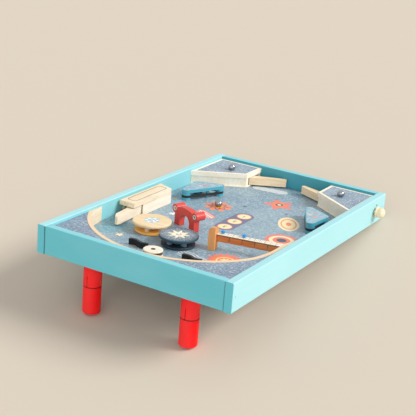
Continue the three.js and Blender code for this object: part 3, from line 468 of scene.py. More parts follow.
class Look:
    """One procedural material, built step by step in the piece's own coordinates."""

    def __init__(self, name, turn=(0, 0, 0)):
        self.material = bpy.data.materials.new(name)
        self.material.use_nodes = True
        self.tree = self.material.node_tree
        self.shader = self.tree.nodes["Principled BSDF"]
        self.own = self.add("TexCoord").outputs["Object"]
        self.place = self.spot((0, 0, 0), turn) if any(turn) else self.own
        self.colour = None
        self.height = None

    def add(self, kind, inputs=None, **settings):
        node = self.tree.nodes.new("ShaderNode" + kind)
        for key, value in settings.items():
            setattr(node, key, value)
        for key, value in (inputs or {}).items():
            self.put(node.inputs[key], value)
        return node

    def put(self, socket, value):
        if isinstance(value, bpy.types.NodeSocket):
            self.tree.links.new(value, socket)
        else:
            socket.default_value = value

    def spot(self, origin, turn=(0, 0, 0), scale=(1, 1, 1)):
        """Coordinates about a point, turned and drawn out."""
        inputs = {
            "Vector": self.own,
            "Location": [v * MM for v in origin],
            "Rotation": turn,
            "Scale": scale,
        }
        return self.add("Mapping", inputs, vector_type="TEXTURE").outputs[0]

    def math(self, operation, a, b=0.0, c=0.0):
        return self.add("Math", {0: a, 1: b, 2: c}, operation=operation).outputs[0]

    def less(self, a, b):
        return self.math("SUBTRACT", a, b)

    def zigzag(self, value):
        return self.math("PINGPONG", value, 0.5)

    def both(self, a, b):
        return self.math("MULTIPLY", a, b)

    def scaled(self, value, factor, offset):
        return self.math("MULTIPLY_ADD", value, factor, offset)

    def size(self, value):
        return self.math("ABSOLUTE", value)

    def dot(self, a, b):
        return self.add("VectorMath", {0: a, 1: b}, operation="DOT_PRODUCT").outputs["Value"]

    def length(self, a):
        return self.add("VectorMath", {0: a}, operation="LENGTH").outputs["Value"]

    def angle(self, x, y):
        return self.math("ARCTAN2", y, x)

    def split(self, vector):
        return self.add("SeparateXYZ", {0: vector}).outputs

    def noise(self, size, stretch=(1, 1, 1), detail=3.0, rough=0.5, warp=0.0):
        """Noise whose features are about a size in millimetres, drawn out along the axes."""
        inputs = {"Vector": self.place, "Scale": stretch}
        grain = self.add("Mapping", inputs, vector_type="TEXTURE")
        inputs = {
            "Vector": grain.outputs[0],
            "Scale": 1 / (size * MM),
            "Detail": detail,
            "Roughness": rough,
            "Distortion": warp,
        }
        return self.add("TexNoise", inputs).outputs["Fac"]

    def cells(self, size):
        """Distance from the nearest scattered point, and a number that each point has."""
        inputs = {"Vector": self.place, "Scale": 1 / (size * MM)}
        node = self.add("TexVoronoi", inputs, feature="F1")
        number = self.split(node.outputs["Color"])[0]
        return node.outputs["Distance"], number

    def rise(self, value, low, high):
        """0 at a first value, 1 at a second, and a straight line between."""
        inputs = {"Value": value, "From Min": low, "From Max": high}
        return self.add("MapRange", inputs, clamp=True).outputs[0]

    def ramp(self, value, low, high):
        """The same for a length, with both places in millimetres."""
        return self.rise(value, low * MM, high * MM)

    def under(self, value, edge, blur=0.25):
        """1 where a length is under an edge, with a soft border, both in millimetres."""
        return self.ramp(value, edge + blur / 2, edge - blur / 2)

    def mixed(self, factor, first, second):
        """A blend of two colours, which a Mix node takes at 6 and 7 and gives at 2."""
        inputs = {0: factor, 6: first, 7: second}
        return self.add("Mix", inputs, data_type="RGBA").outputs[2]

    def blend(self, factor, first, second):
        return self.mixed(factor, linear(first), linear(second))

    def lay(self, mask, colour, share=1.0):
        """Lays a colour over what is there."""
        factor = mask if share == 1.0 else self.both(mask, share)
        value = linear(colour) if isinstance(colour, str) else colour
        self.colour = self.mixed(factor, self.colour, value)

    def lift(self, value, share):
        """Adds a share of a value to the relief."""
        part = self.both(value, share)
        self.height = part if self.height is None else self.math("ADD", self.height, part)

    def edges(self, reach):
        """1 on sharp and rounded edges, fading within a reach."""
        bevel = self.add("Bevel", {"Radius": reach * MM}, samples=EDGE_SAMPLES).outputs[0]
        plain = self.add("NewGeometry").outputs["Normal"]
        return self.rise(self.dot(bevel, plain), *EDGE_FADE)

    def done(self, roughness, relief=0.06, **settings):
        """Joins colour, roughness and relief to the shader, and sets its plain numbers."""
        self.put(self.shader.inputs["Base Color"], self.colour)
        self.put(self.shader.inputs["Roughness"], roughness)
        if self.height is not None:
            inputs = {"Height": self.height, "Distance": relief * MM, "Strength": 1.0}
            bump = self.add("Bump", inputs).outputs[0]
            self.put(self.shader.inputs["Normal"], bump)
        for key, value in settings.items():
            self.shader.inputs[key.replace("_", " ")].default_value = value
        return self.material


def painted(name, colour, turn=(0, 0, 0), wear=0.25, gloss=0.42, marks=None, shine=0.3):
    """Opaque paint on wood: fine orange peel, faint grain below, paler worn edges."""
    look = Look(name, turn)
    cloud = look.noise(60, (2, 1, 1), detail=2)
    grain = look.noise(2.2, (30, 1, 1), detail=3, rough=0.6)
    peel = look.noise(1.1, detail=1)
    look.colour = linear(colour)
    look.lay(look.rise(cloud, 0.35, 0.75), BRIGHT, 0.05)
    look.lay(look.rise(grain, 0.58, 0.8), DARK, 0.1)
    if marks:
        marks(look)
    scuff = look.rise(look.noise(6, detail=4, rough=0.7), 0.42, 0.62)
    look.lay(look.both(look.edges(1.2), scuff), BRIGHT, wear)
    look.lift(peel, 0.4)
    look.lift(grain, 0.6)
    roughness = look.scaled(look.rise(cloud, 0.2, 0.8), 0.12, gloss)
    return look.done(roughness, relief=0.08, Specular_IOR_Level=shine, Coat_Weight=0.06)


def grained(look, light, dark, streak):
    """Wood along the look's X axis: growth lines, fibres and short pores."""
    flow = look.noise(26, (9, 1, 1), detail=2, warp=0.3)
    lines = look.math("SINE", look.both(flow, 46))
    fibres = look.noise(0.9, (34, 1, 1), detail=3, rough=0.65)
    pores = look.noise(0.55, (9, 1, 1), detail=1)
    look.colour = look.blend(look.rise(flow, 0.32, 0.68), light, dark)
    look.lay(look.rise(lines, 0.2, 1.0), streak, 0.24)
    look.lay(look.rise(fibres, 0.45, 0.75), streak, 0.34)
    look.lay(look.rise(pores, 0.66, 0.76), streak, 0.45)
    look.lift(fibres, 0.7)
    look.lift(lines, 0.12)
    return fibres


def clear_coat(look, fibres, gloss):
    roughness = look.scaled(fibres, 0.2, gloss)
    return look.done(roughness, relief=0.1, Coat_Weight=0.08, Coat_Roughness=0.35)


def wooden(name, tones, turn=(0, 0, 0), prints=None):
    """Clear-finished wood, with prints on it where a function draws them."""
    look = Look(name, turn)
    fibres = grained(look, *tones)
    worn = look.rise(look.noise(5, detail=3), 0.4, 0.65)
    look.lay(look.both(look.edges(0.9), worn), tones[-1], 0.35)
    if prints:
        prints(look)
    return clear_coat(look, fibres, 0.5)


def speckled(look, base, deep, fleck, spark):
    """A print of mottled colour with scattered flecks and sparks."""
    cloud = look.noise(55, detail=3, rough=0.6)
    wash = look.noise(4.6, detail=4, rough=0.75, warp=0.5)
    colour = look.blend(look.rise(cloud, 0.4, 0.62), base, deep)
    layers = [
        (look.rise(wash, 0.52, 0.64), fleck, 0.55),
        (look.rise(wash, 0.47, 0.36), spark, 0.6),
    ]
    for size, radius, least, tone in ((3.4, 0.4, 0.68, fleck), (4.2, 0.34, 0.66, spark)):
        distance, number = look.cells(size)
        dot = look.rise(distance, radius, radius * 0.5)
        chosen = look.rise(number, least, least + 0.02)
        layers.append((look.both(dot, chosen), tone, 0.8))
    for mask, tone, share in layers:
        colour = look.mixed(look.both(mask, share), colour, linear(tone))
    return colour


def inside(look, corners, inset):
    """1 within a convex outline given anticlockwise, drawn in by an inset."""
    least = None
    for (ax, ay), (bx, by) in zip(corners, corners[1:] + corners[:1]):
        length = math.hypot(bx - ax, by - ay)
        normal = (-(by - ay) / length, (bx - ax) / length, 0)
        offset = (normal[0] * ax + normal[1] * ay + inset) * MM
        along = look.dot(look.own, normal)
        reach = look.less(along, offset)
        least = reach if least is None else look.math("MINIMUM", least, reach)
    return look.ramp(least, -PRINT_BLUR, PRINT_BLUR)


def above(look, level):
    """1 on what lies higher than a level."""
    return look.ramp(look.split(look.own)[2], level - PRINT_STEP, level)


def outline(node, least_level):
    """Corners, anticlockwise, of the plan hull of a node's points from a level up."""
    high_points = [p for p in tray_points(node) if p.z > least_level]
    points = sorted({(round(p.x, 2), round(p.y, 2)) for p in high_points})

    def turn(a, b, c):
        return (b[0] - a[0]) * (c[1] - a[1]) - (b[1] - a[1]) * (c[0] - a[0])

    def half(row):
        chain = []
        for p in row:
            while len(chain) > 1 and turn(chain[-2], chain[-1], p) <= 0:
                chain.pop()
            chain.append(p)
        return chain[:-1]

    return half(points) + half(points[::-1])


# Printed shapes: each is 1 within its form, about a spot


def sector(look, spot, count, phase):
    """How far round its sector a point lies, from 0 on a ray to 1 between two rays."""
    x, y, _ = look.split(spot)
    angle = look.angle(x, y)
    cycles = look.scaled(angle, count / FULL_TURN, phase)
    return look.both(look.zigzag(cycles), 2.0)


def star(look, spot, points, outer, inner, phase=0.0):
    step = sector(look, spot, points, phase)
    edge = look.scaled(step, (inner - outer) * MM, outer * MM)
    reach = look.less(look.length(spot), edge)
    return look.under(reach, 0)


def flower(look, spot, petals, middle, swing, phase=0.0):
    """A round outline with petals."""
    x, y, _ = look.split(spot)
    angle = look.angle(x, y)
    wave = look.math("COSINE", look.scaled(angle, petals, phase))
    reach = look.scaled(wave, -swing * MM, look.length(spot))
    return look.under(reach, middle)


def disc(look, spot, radius):
    return look.under(look.length(spot), radius)


def ring(look, spot, radius, half):
    reach = look.less(look.length(spot), radius * MM)
    return look.under(look.size(reach), half)


def bar(look, spot, half_x, half_y, rounding):
    """A bar with rounded corners."""
    x, y, _ = look.split(spot)
    over_x = look.less(look.size(x), (half_x - rounding) * MM)
    over_y = look.less(look.size(y), (half_y - rounding) * MM)
    out_x = look.math("MAXIMUM", over_x, 0.0)
    out_y = look.math("MAXIMUM", over_y, 0.0)
    corner = look.add("CombineXYZ", {0: out_x, 1: out_y}).outputs[0]
    return look.under(look.length(corner), rounding)


def ripples(look, spot, pitch, swing, length, weight):
    """Parallel waved lines."""
    x, y, _ = look.split(spot)
    phase = look.both(x, FULL_TURN / (length * MM))
    crest = look.both(look.math("SINE", phase), swing * MM)
    row = look.both(look.math("ADD", y, crest), 1 / (pitch * MM))
    zigzag = look.zigzag(row)
    return look.rise(zigzag, weight / 2 + 0.05, weight / 2 - 0.02)


SHAPES = {"star": star, "flower": flower, "disc": disc, "ring": ring, "bar": bar}


def draw(look, spot, layers, within=None):
    """Lays shapes over what is there, where a mask is given only within it."""
    for shape, sizes, colour in layers:
        mask = SHAPES[shape](look, spot, *sizes)
        look.lay(mask if within is None else look.both(mask, within), colour)


def deck_prints(look):
    """Plain stars, rings, petals, stripes and waves in the print's colours."""
    for place, turn, stretch, layers in ORNAMENTS:
        draw(look, look.spot((*place, DECK_Z), (0, 0, turn), (1, stretch, 1)), layers)
    for place, turn, size, waves, colour, share in WAVES:
        spot = look.spot((*place, DECK_Z), (0, 0, turn))
        lines = look.both(bar(look, spot, *size), ripples(look, spot, *waves))
        look.lay(lines, colour, share)
    for x, y, size, colour in STARS:
        spot = look.spot((x, y, DECK_Z), (0, 0, STAR_TURN * x))
        look.lay(star(look, spot, STAR_POINTS, size, size * STAR_WAIST), colour)


def print_material(name, tones, wear_size, gloss, prints=None):
    """A matt print, speckled all over."""
    look = Look(name)
    look.colour = speckled(look, *tones)
    if prints:
        prints(look)
    look.lift(look.noise(0.8, detail=2), 1.0)
    wear = look.noise(wear_size, detail=3)
    return look.done(look.scaled(wear, 0.2, gloss), relief=0.03)


def plate_material(name, node, turn):
    """Wood with a speckled print on its top, a border in from the outline."""
    high = tray_box(node)[1]
    corners = outline(node, high.z - OUTLINE_DEPTH)

    def prints(look):
        top = above(look, high.z - PRINT_DEPTH)
        field = inside(look, corners, COVER_BORDER)
        look.lay(look.both(top, field), speckled(look, *COVER_TONES))

    return wooden(name, WALL, turn, prints)


def sling_material(name, node):
    """Teal paint with a speckled print and small plain marks on the top."""
    _, high, middle = tray_box(node)
    corners = outline(node, high.z - OUTLINE_DEPTH)
    look = Look(name)
    cloud = look.noise(18, detail=3)
    look.colour = look.blend(cloud, "#3F9DB4", "#55AEC2")
    worn = look.rise(look.noise(5, detail=4, rough=0.7), 0.45, 0.62)
    look.lay(look.both(look.edges(1.0), worn), BRIGHT, 0.3)
    top = above(look, high.z - PRINT_DEPTH)
    field = look.both(top, inside(look, corners, SLING_BORDER))
    look.lay(field, speckled(look, *SLING_TONES))
    for shift, turn, tone in SLING_MARKS:
        spot = look.spot((middle.x + shift[0], middle.y + shift[1], high.z), (0, 0, turn))
        lines = ripples(look, spot, *SLING_WAVES)
        marks = look.both(bar(look, spot, *SLING_BAR), lines)
        look.lay(look.both(field, marks), tone)
    look.lift(look.noise(1.0, detail=2), 1.0)
    roughness = look.scaled(cloud, 0.15, 0.35)
    return look.done(roughness, relief=0.05, Coat_Weight=0.2, Coat_Roughness=0.25)


def kicker_prints(look):
    """A long frame of one engraved line."""
    high = tray_box("kicker_cover")[1]
    spot = look.spot((*LINE_PLACE, high.z))
    outer = bar(look, spot, *LINE_BAR)
    inner = bar(look, spot, *(size - LINE_WIDTH for size in LINE_BAR))
    line = look.math("MAXIMUM", look.less(outer, inner), 0.0)
    mask = look.both(above(look, high.z - PRINT_DEPTH), line)
    look.lay(mask, "#8C6C58", 0.9)
    look.lift(mask, -1.0)


def rubber_material():
    look = Look("rubber")
    dust = look.noise(3, detail=4, rough=0.7)
    ribs = look.noise(0.9, (1, 1, 40), detail=0)
    look.colour = look.blend(look.rise(dust, 0.45, 0.75), "#18181A", "#2D2C2E")
    look.lift(ribs, 1.0)
    return look.done(look.scaled(dust, 0.2, 0.55), relief=0.25)


def metal(name, tone, grime, roughness):
    """Metal with fine scratches and a little grime."""
    look = Look(name)
    scratch = look.noise(0.35, (12, 1, 1), detail=2)
    smudge = look.noise(5, detail=3)
    look.colour = look.blend(look.rise(smudge, 0.5, 0.8), tone, grime)
    look.lift(scratch, 1.0)
    return look.done(look.scaled(smudge, 0.12, roughness), relief=0.004, Metallic=1.0)


def disc_top(look, node, turn=0):
    """Coordinates on the top of a spinner's disc, and a mask that is 1 there alone."""
    low, high, _ = tray_box(node)
    half = (high.z - low.z) / 2
    level = look.split(look.own)[2]
    face = look.ramp(level, *(half - depth for depth in DISC_PRINT))
    return look.spot((0, 0, half), (0, 0, turn)), face


def compass_material():
    """Navy disc with speckles, pale rays and an eight-pointed star about its hub."""
    look = Look("compass_print")
    look.colour = linear("#24485A")
    spot, face = disc_top(look, "spinner_compass_disc", COMPASS_TURN)
    look.lay(face, speckled(look, *COMPASS_TONES))
    rays = look.both(star(look, spot, 32, 33.5, 20), face)
    dots = look.rise(look.noise(2.2, detail=2), 0.42, 0.55)
    look.lay(look.both(rays, dots), "#C3CED1", 0.55)
    draw(look, spot, COMPASS_STAR, face)
    worn = look.rise(look.noise(4, detail=4), 0.45, 0.6)
    look.lay(look.both(look.edges(0.8), worn), "#8FA3AD", 0.35)
    look.lift(look.noise(0.9, detail=2), 1.0)
    return look.done(look.scaled(worn, 0.12, 0.36), relief=0.04)


def hub_print(look):
    """A pale ring of petals round the plain spinner's hub."""
    spot, face = disc_top(look, "spinner_plain_disc")
    draw(look, spot, HUB_PETALS, face)


def side_marks(look):
    """Painted shade within, in seams and in a small hole, plain tone on the ends, and screw
    marks.
    """
    x, y, _ = look.split(look.own)
    across = look.size(x)
    # Painted shade: the side boards' inner faces are laid darker
    look.lay(look.ramp(across, *INNER_FACE), INNER_PAINTED_SHADE)
    # The side boards' ends keep the end boards' plain tone, without the painted highlight
    end = look.ramp(look.size(y), *SIDE_END_FACES)
    look.lay(end, END_COLOUR)
    # Painted shade in the seams between side and end boards
    seam = look.ramp(across, *SIDE_SEAM)
    look.lay(look.both(end, seam), SEAM_PAINTED_SHADE, SEAM_SHADE_SHARE)
    for side in (-1, 1):
        for place in (-SCREW_Y, SCREW_Y):
            spot = look.spot((side * BOARD_FACE_X, place, SCREW_Z))
            look.lay(disc(look, spot, SCREW_RADIUS), "#86A9AE", 0.7)
    # Painted shade: a dark disc at the small hole
    hole = look.spot((-BOARD_FACE_X, HOLE_Y, HOLE_Z), scale=(HOLE_DEPTH, 1, 1))
    look.lay(disc(look, hole, HOLE_RADIUS), "#14252A")


def end_marks(side, outer_colour=None):
    """Painted highlight on an end board's upper edge, its outer face, painted shade in side
    seams.
    """

    def marks(look):
        x, y, _ = look.split(look.own)
        outer = look.ramp(look.both(y, side), *OUTER_FACE)
        if outer_colour:
            look.lay(outer, outer_colour)
        # Painted highlight: the end boards' top band is laid lighter
        look.lay(above(look, BOARD_TOP - TOP_BAND), TOP_PAINTED_HIGHLIGHT)
        # Painted shade in the seams with the side boards
        seam = look.ramp(look.size(x), *CROSS_SEAM)
        look.lay(look.both(seam, outer), SEAM_PAINTED_SHADE, SEAM_SHADE_SHARE)

    return marks


def leg_marks(look):
    """A dark seam between leg and socket."""
    seam = tray_box("leg_right")[1].z - LEG_TENON
    height = look.split(look.own)[2]
    off = look.size(look.less(height, seam * MM))
    look.lay(look.under(off, LEG_SEAM_HALF, LEG_SEAM_BLUR), "#6E0508", 0.9)


def rail_material():
    """Bent laminated wood: grain round the rail's centre and thin plies on its top."""
    look = Look("bent_pine")
    x, y, z = look.split(look.spot((RAIL_X, RAIL_Y, 0)))
    angle = look.angle(x, y)
    flat = look.add("CombineXYZ", {0: x, 1: y}).outputs[0]
    radius = look.length(flat)
    along = look.both(angle, RAIL_INNER * MM)
    look.place = look.add("CombineXYZ", {0: along, 1: radius, 2: z}).outputs[0]
    fibres = grained(look, *BENT)
    plies = look.zigzag(look.both(radius, 1 / (RAIL_PLY * MM)))
    top = above(look, tray_box("curved_rail")[1].z - RAIL_TOP)
    look.lay(top, "#F3CFA6", 0.65)
    look.lay(look.both(top, look.rise(plies, 0.1, 0.03)), "#C28F5B", 0.5)
    return clear_coat(look, fibres, 0.48)


def cap_material(thick):
    """Pale wood with painted shade in its groove and bore."""
    groove_top = thick - CAP_RIM
    groove_foot = groove_top - CAP_GROOVE

    def prints(look):
        height = look.split(look.own)[2]
        low = look.ramp(height, groove_foot - GROOVE_SHADE_LOW, groove_foot)
        high = look.ramp(height, groove_top + GROOVE_SHADE_HIGH, groove_top)
        # Painted shade darkens the groove
        look.lay(look.both(low, high), "#4B3526", 0.9)
        # Painted shade darkens the bore and a little round it
        bore = look.spot((0, 0, thick - BORE_SHADE_DEPTH))
        look.lay(disc(look, bore, CAP_HOLE + BORE_SHADE_OVER), "#33261D", 0.95)

    return wooden("bumper_pine", BUMPER, prints=prints)


def plug_material():
    """White ring round a dark screw."""
    look = Look("plug_paint")
    grime = look.noise(1.5, detail=3)
    look.colour = look.blend(look.rise(grime, 0.45, 0.75), "#E6E2D8", "#CFC9BC")
    spot = look.spot((0, 0, 0), scale=(1, 1, ANY_DEPTH))
    look.lay(disc(look, spot, PLUG_SCREW_RADIUS), "#2A2B2C")
    look.lift(grime, 1.0)
    return look.done(look.scaled(grime, 0.2, 0.35), relief=0.04)


def slat_prints(look):
    """White upper face with a ruler of fine ticks along one edge, and darker sides."""
    level = tray_box("bridge_slat")[1].z
    top = above(look, level - SLAT_PRINT_DEPTH)
    corners = outline("bridge_slat", level - OUTLINE_DEPTH)
    sides = look.less(1.0, above(look, level - SLAT_SIDE))
    look.lay(sides, "#5E4330", 0.85)
    look.lay(look.both(top, inside(look, corners, SLAT_BORDER)), "#F6F1E4", 0.85)
    x, y, _ = look.split(look.spot((*BRIDGE_PLACE, level), (0, 0, BRIDGE_TURN)))
    row = look.both(x, 1 / (TICK_PITCH * MM))
    ticks = look.rise(look.zigzag(row), 0.18, 0.12)
    band = look.both(look.ramp(y, *TICK_START), look.ramp(y, *TICK_END))
    look.lay(look.both(look.both(top, ticks), band), "#6E5238", 0.85)


# Materials that several pieces share
# The side boards' paint is paler than the end boards' as a painted highlight over the whole board
side_paint_painted_light = painted("turquoise_side_painted_light", "#A4DBE1", ALONG_Y, marks=side_marks)
end_paint = painted("turquoise_end", END_COLOUR, marks=end_marks(1))
# The near board is painted deeper as painted shade on its inner face; its outer face keeps the
# plain tone
near_paint_painted_shade = painted("turquoise_near_painted_shade", "#3C9FB1", marks=end_marks(-1, END_COLOUR))
red_paint = painted("red_paint", "#FF060B", UPRIGHT, 0.1, 0.36, leg_marks, 0.2)
gate_paint = painted("coral_paint", "#D42C1C", (0, 0, GATE_TURN), 0.3, 0.34, shine=0.4)
navy_paint = painted("navy_paint", "#1A3140", wear=0.2, gloss=0.4)
black_paint = painted("fence_paint", "#0C151B", wear=0.2, shine=0.2)
orange_stain = painted("orange_stain", "#FFBE5E", wear=0.2, gloss=0.4)
blue_peg_paint = painted("blue_peg_paint", "#1E92DA", wear=0.1, gloss=0.25)
steel_blue_paint = painted("peg_blue_paint", "#7393A6", wear=0.2, gloss=0.4)
ink = painted("print_ink", "#3A4048", wear=0.0)
pine_y = wooden("pine_along_y", PALE, ALONG_Y)
turned_pine = wooden("turned_pine", TURNED, UPRIGHT)
polished = metal("polished_steel", "#9A9DA1", "#7D8085", 0.1)
nickel = metal("nickel", "#E4E6E8", "#C8CBCF", 0.16)
dark_steel = metal("dark_steel", "#5C5D60", "#3F4043", 0.3)
rubber = rubber_material()


# Building of pieces


def finish_mesh(form, name):
    """A mesh in metres from a bmesh in millimetres, smooth but for its sharp edges."""
    bmesh.ops.recalc_face_normals(form, faces=form.faces)
    mesh = bpy.data.meshes.new(name)
    form.to_mesh(mesh)
    form.free()
    mesh.transform(Matrix.Scale(MM, 4))
    mesh.shade_smooth()
    mesh.set_sharp_from_angle(angle=SMOOTH_ANGLE)
    return mesh


def add_piece(name, mesh, material, node, place=None, replaced=()):
    """Puts a mesh into the scene on its node's body, in place of the nodes that it stands for."""
    piece = put_in_scene(name, mesh)
    piece.matrix_world = TRAY @ place if place else TRAY
    mesh.materials.append(material)
    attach(piece, frame["nodes"][node]["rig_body"])
    if replaced:
        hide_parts(*replaced)
    return piece


def is_hard(edge):
    if len(edge.link_faces) != 2:
        return False
    return EDGE_ANGLE < edge.calc_face_angle(0) < KNIFE_ANGLE


def rounded_copy(node, width, segments):
    """The node's own solid with its hard edges rounded, in millimetres in the tray's frame."""
    form = bmesh.new()
    form.from_mesh(frame["nodes"][node].data)
    form.transform(Matrix.Scale(1 / MM, 4) @ INTO_TRAY)
    bmesh.ops.remove_doubles(form, verts=form.verts, dist=MERGE_GAP)
    bmesh.ops.dissolve_limit(form, angle_limit=FLAT_ANGLE, verts=form.verts, edges=form.edges)
    if width > 0:
        bmesh.ops.bevel(
            form,
            geom=[e for e in form.edges if is_hard(e)],
            offset=width,
            offset_type="OFFSET",
            segments=segments,
            profile=0.5,
            affect="EDGES",
            clamp_overlap=True,
            miter_outer="ARC",
        )
    bmesh.ops.remove_doubles(form, verts=form.verts, dist=MERGE_GAP)
    return form


def refine(node, width, material, segments=3):
    """Replaces a node by its own form with rounded edges."""
    mesh = finish_mesh(rounded_copy(node, width, segments), node)
    piece = add_piece(node + "_piece", mesh, material, node, replaced=[node])
    normals = piece.modifiers.new("even_normals", "WEIGHTED_NORMAL")
    normals.keep_sharp = True


def fillet(profile, radius):
    """Rounds the inner corners of a [radius, height] profile."""
    rounded = [profile[0]]
    for before, here, after in zip(profile, profile[1:], profile[2:]):
        a, b, c = Vector(before), Vector(here), Vector(after)
        reach = min(radius, (a - b).length / FILLET_SHARE, (c - b).length / FILLET_SHARE)
        into, out = (a - b).normalized(), (c - b).normalized()
        if into.angle(out, math.pi) > STRAIGHT_ANGLE or reach < FILLET_LEAST:
            rounded.append(here)
            continue
        start, end = b + into * reach, b + out * reach
        for i in range(FILLET_STEPS + 1):
            t = i / FILLET_STEPS
            point = start * (1 - t) ** 2 + b * 2 * t * (1 - t) + end * t ** 2
            rounded.append((point.x, point.y))
    rounded.append(profile[-1])
    return rounded


def arc(x, z, width, height, start, end, steps):
    """Points of a [radius, height] profile round a middle, from one angle to another."""
    angles = [start + (end - start) * i / steps for i in range(steps + 1)]
    return [(x + width * math.cos(a), z + height * math.sin(a)) for a in angles]


def drum(radius, low, high, cut):
    """Four points of a profile with cut corners, which go in and along by a cut's sizes."""
    inner = radius - cut[0]
    return [(inner, low), (radius, low + cut[1]), (radius, high - cut[1]), (inner, high)]


def tube(inner, outer, height):
    """The closed profile of a tube that starts at zero height."""
    return [(inner, 0), (outer, 0), (outer, height), (inner, height), (inner, 0)]


def turned_form(profile, steps):
    """A closed bmesh from a [radius, height] profile turned about Z."""
    form = bmesh.new()
    rings = []
    angles = [FULL_TURN * i / steps for i in range(steps)]
    for radius, height in profile:
        if radius < AXIS_GAP:
            rings.append([form.verts.new((0, 0, height))])
            continue
        points = [(radius * math.cos(a), radius * math.sin(a), height) for a in angles]
        rings.append([form.verts.new(p) for p in points])
    if Vector(profile[0]) == Vector(profile[-1]) and profile[0][0] > AXIS_GAP:
        for vertex in rings[-1]:
            form.verts.remove(vertex)
        rings[-1] = rings[0]
    for low, high in zip(rings, rings[1:]):
        for i in range(steps):
            j = i + 1
            pairs = ((low, i), (low, j), (high, j), (high, i))
            unique = list(dict.fromkeys(ring[k % len(ring)] for ring, k in pairs))
            if len(unique) > 2:
                form.faces.new(unique)
    return form


def turned(profile, rounding, steps, name):
    """A mesh from a profile turned about Z, with its corners rounded."""
    return finish_mesh(turned_form(fillet(profile, rounding), steps), name)


def turn_node(node, profile, material, place, rounding, steps=TURN_STEPS):
    """Replaces a node by a turned piece whose axis is the Z axis of its place."""
    name = node + "_piece"
    add_piece(name, turned(profile, rounding, steps, name), material, node, place, [node])


# Tray, rail and legs


def add_frame():
    for hand in HANDS:
        refine("side_board_" + hand, PAINTED_EDGE, side_paint_painted_light)
    refine("end_board_far", PAINTED_EDGE, end_paint)
    refine("end_board_near", PAINTED_EDGE, near_paint_painted_shade)
    deck = print_material("deck_print", DECK_TONES, 80, 0.34, deck_prints)
    refine("play_panel", 0, deck)


def add_rail():
    refine("curved_rail", FINE_EDGE, rail_material(), 2)
    print_top = print_material("corner_print", CORNER_TONES, 60, 0.38)
    for hand in HANDS:
        refine("corner_block_" + hand, FINE_EDGE, print_top, 2)


def add_leg(node):
    low, high, middle = tray_box(node)
    seam = high.z - LEG_TENON
    outer = (high.x - low.x) / 2
    foot = low.z + FOOT_MARGIN
    rim = outer - FOOT_RIM
    profile = [(0, foot + FOOT_DISH), (rim - FOOT_DISH, foot + FOOT_DISH), (rim, foot)]
    round_x, round_z = outer - FOOT_ROUND, foot + FOOT_ROUND
    profile += arc(round_x, round_z, FOOT_ROUND, FOOT_ROUND, -QUARTER_TURN, 0, FOOT_STEPS)
    profile += [(outer, seam - LEG_CUT[1]), (outer - LEG_CUT[0], seam), (LEG_TENON_RADIUS, seam)]
    profile += [(LEG_TENON_RADIUS, high.z - TENON_CUT), (LEG_TENON_RADIUS - TENON_CUT, high.z)]
    profile.append((0, high.z))
    turn_node(node, profile, red_paint, at(middle.x, middle.y, 0), 0.1)


def add_legs():
    for hand in HANDS:
        refine("leg_socket_" + hand, FINE_EDGE, red_paint, 2)
        add_leg("leg_" + hand)


# Flippers, side kicker and their buttons


def add_flippers():
    for side, hand in ((1, "right"), (-1, "left")):
        name = "flipper_" + hand
        slope = (0, 0, -side * FLIPPER_SLOPE)
        refine(name + "_housing", WOOD_EDGE, wooden(name + "_wall_pine", WALL, slope))
        plate = plate_material(name + "_cover_print", name + "_cover", slope)
        refine(name + "_cover", WOOD_EDGE, plate)
        droop = (0, 0, side * LEVER_DROOP[hand])
        refine(name + "_lever", WOOD_EDGE, wooden(name + "_lever_beech", LEVER, droop))
        add_pin(name + "_pivot_pin")
        add_button(side, name)


def add_pin(node):
    low, high, middle = tray_box(node)
    body = drum((high.x - low.x) / 2, low.z, high.z, PIN_CUT)
    profile = [(0, low.z), *body, (0, high.z)]
    turn_node(node, profile, dark_steel, at(middle.x, middle.y, 0), 0.2, SMALL_STEPS)


def button_profile(length):
    """The button from the tip of its rod to the top of its knob."""
    flange = length - BULB_LENGTH - FLANGE_THICKNESS
    stop = flange - KNOB_STANDOFF - BOARD_THICKNESS - COLLAR_GAP
    bulb = flange + FLANGE_THICKNESS
    collar = stop - COLLAR_THICKNESS
    tip = arc(0, ROD_RADIUS, ROD_RADIUS, ROD_RADIUS, -QUARTER_TURN, 0, ROD_STEPS)
    profile = [(0, 0), *tip[1:], (ROD_RADIUS, collar), (COLLAR_RADIUS, collar)]
    profile += [(COLLAR_RADIUS, stop), (ROD_RADIUS, stop), (ROD_RADIUS, flange)]
    profile += [
        (FLANGE_RADIUS - FLANGE_LOW_CUT[0], flange),
        (FLANGE_RADIUS, flange + FLANGE_LOW_CUT[1]),
        (FLANGE_RADIUS - FLANGE_HIGH_CUT[0], bulb - FLANGE_HIGH_CUT[1]),
        (NECK_RADIUS, bulb),
    ]
    dome = BULB_RADIUS * BULB_DOME_SHARE
    shoulder = length - dome
    for i in range(1, NECK_STEPS + 1):
        t = i / NECK_STEPS
        swell = NECK_RADIUS + (BULB_RADIUS - NECK_RADIUS) * math.sin(t * QUARTER_TURN)
        profile.append((swell, bulb + (shoulder - bulb) * t))
    top = arc(0, shoulder, BULB_RADIUS, dome, 0, QUARTER_TURN, BULB_STEPS)
    return profile + top[1:-1] + [(0, length)]


def add_button(side, name):
    node = name + "_button"
    low, high, middle = tray_box(node)
    tip = low.x if side > 0 else high.x
    place = at(tip, middle.y, middle.z, (0, side * QUARTER_TURN, 0))
    turn_node(node, button_profile(high.x - low.x), turned_pine, place, 0.35)
    add_spring(side, name + "_spring", *BUTTONS[name])


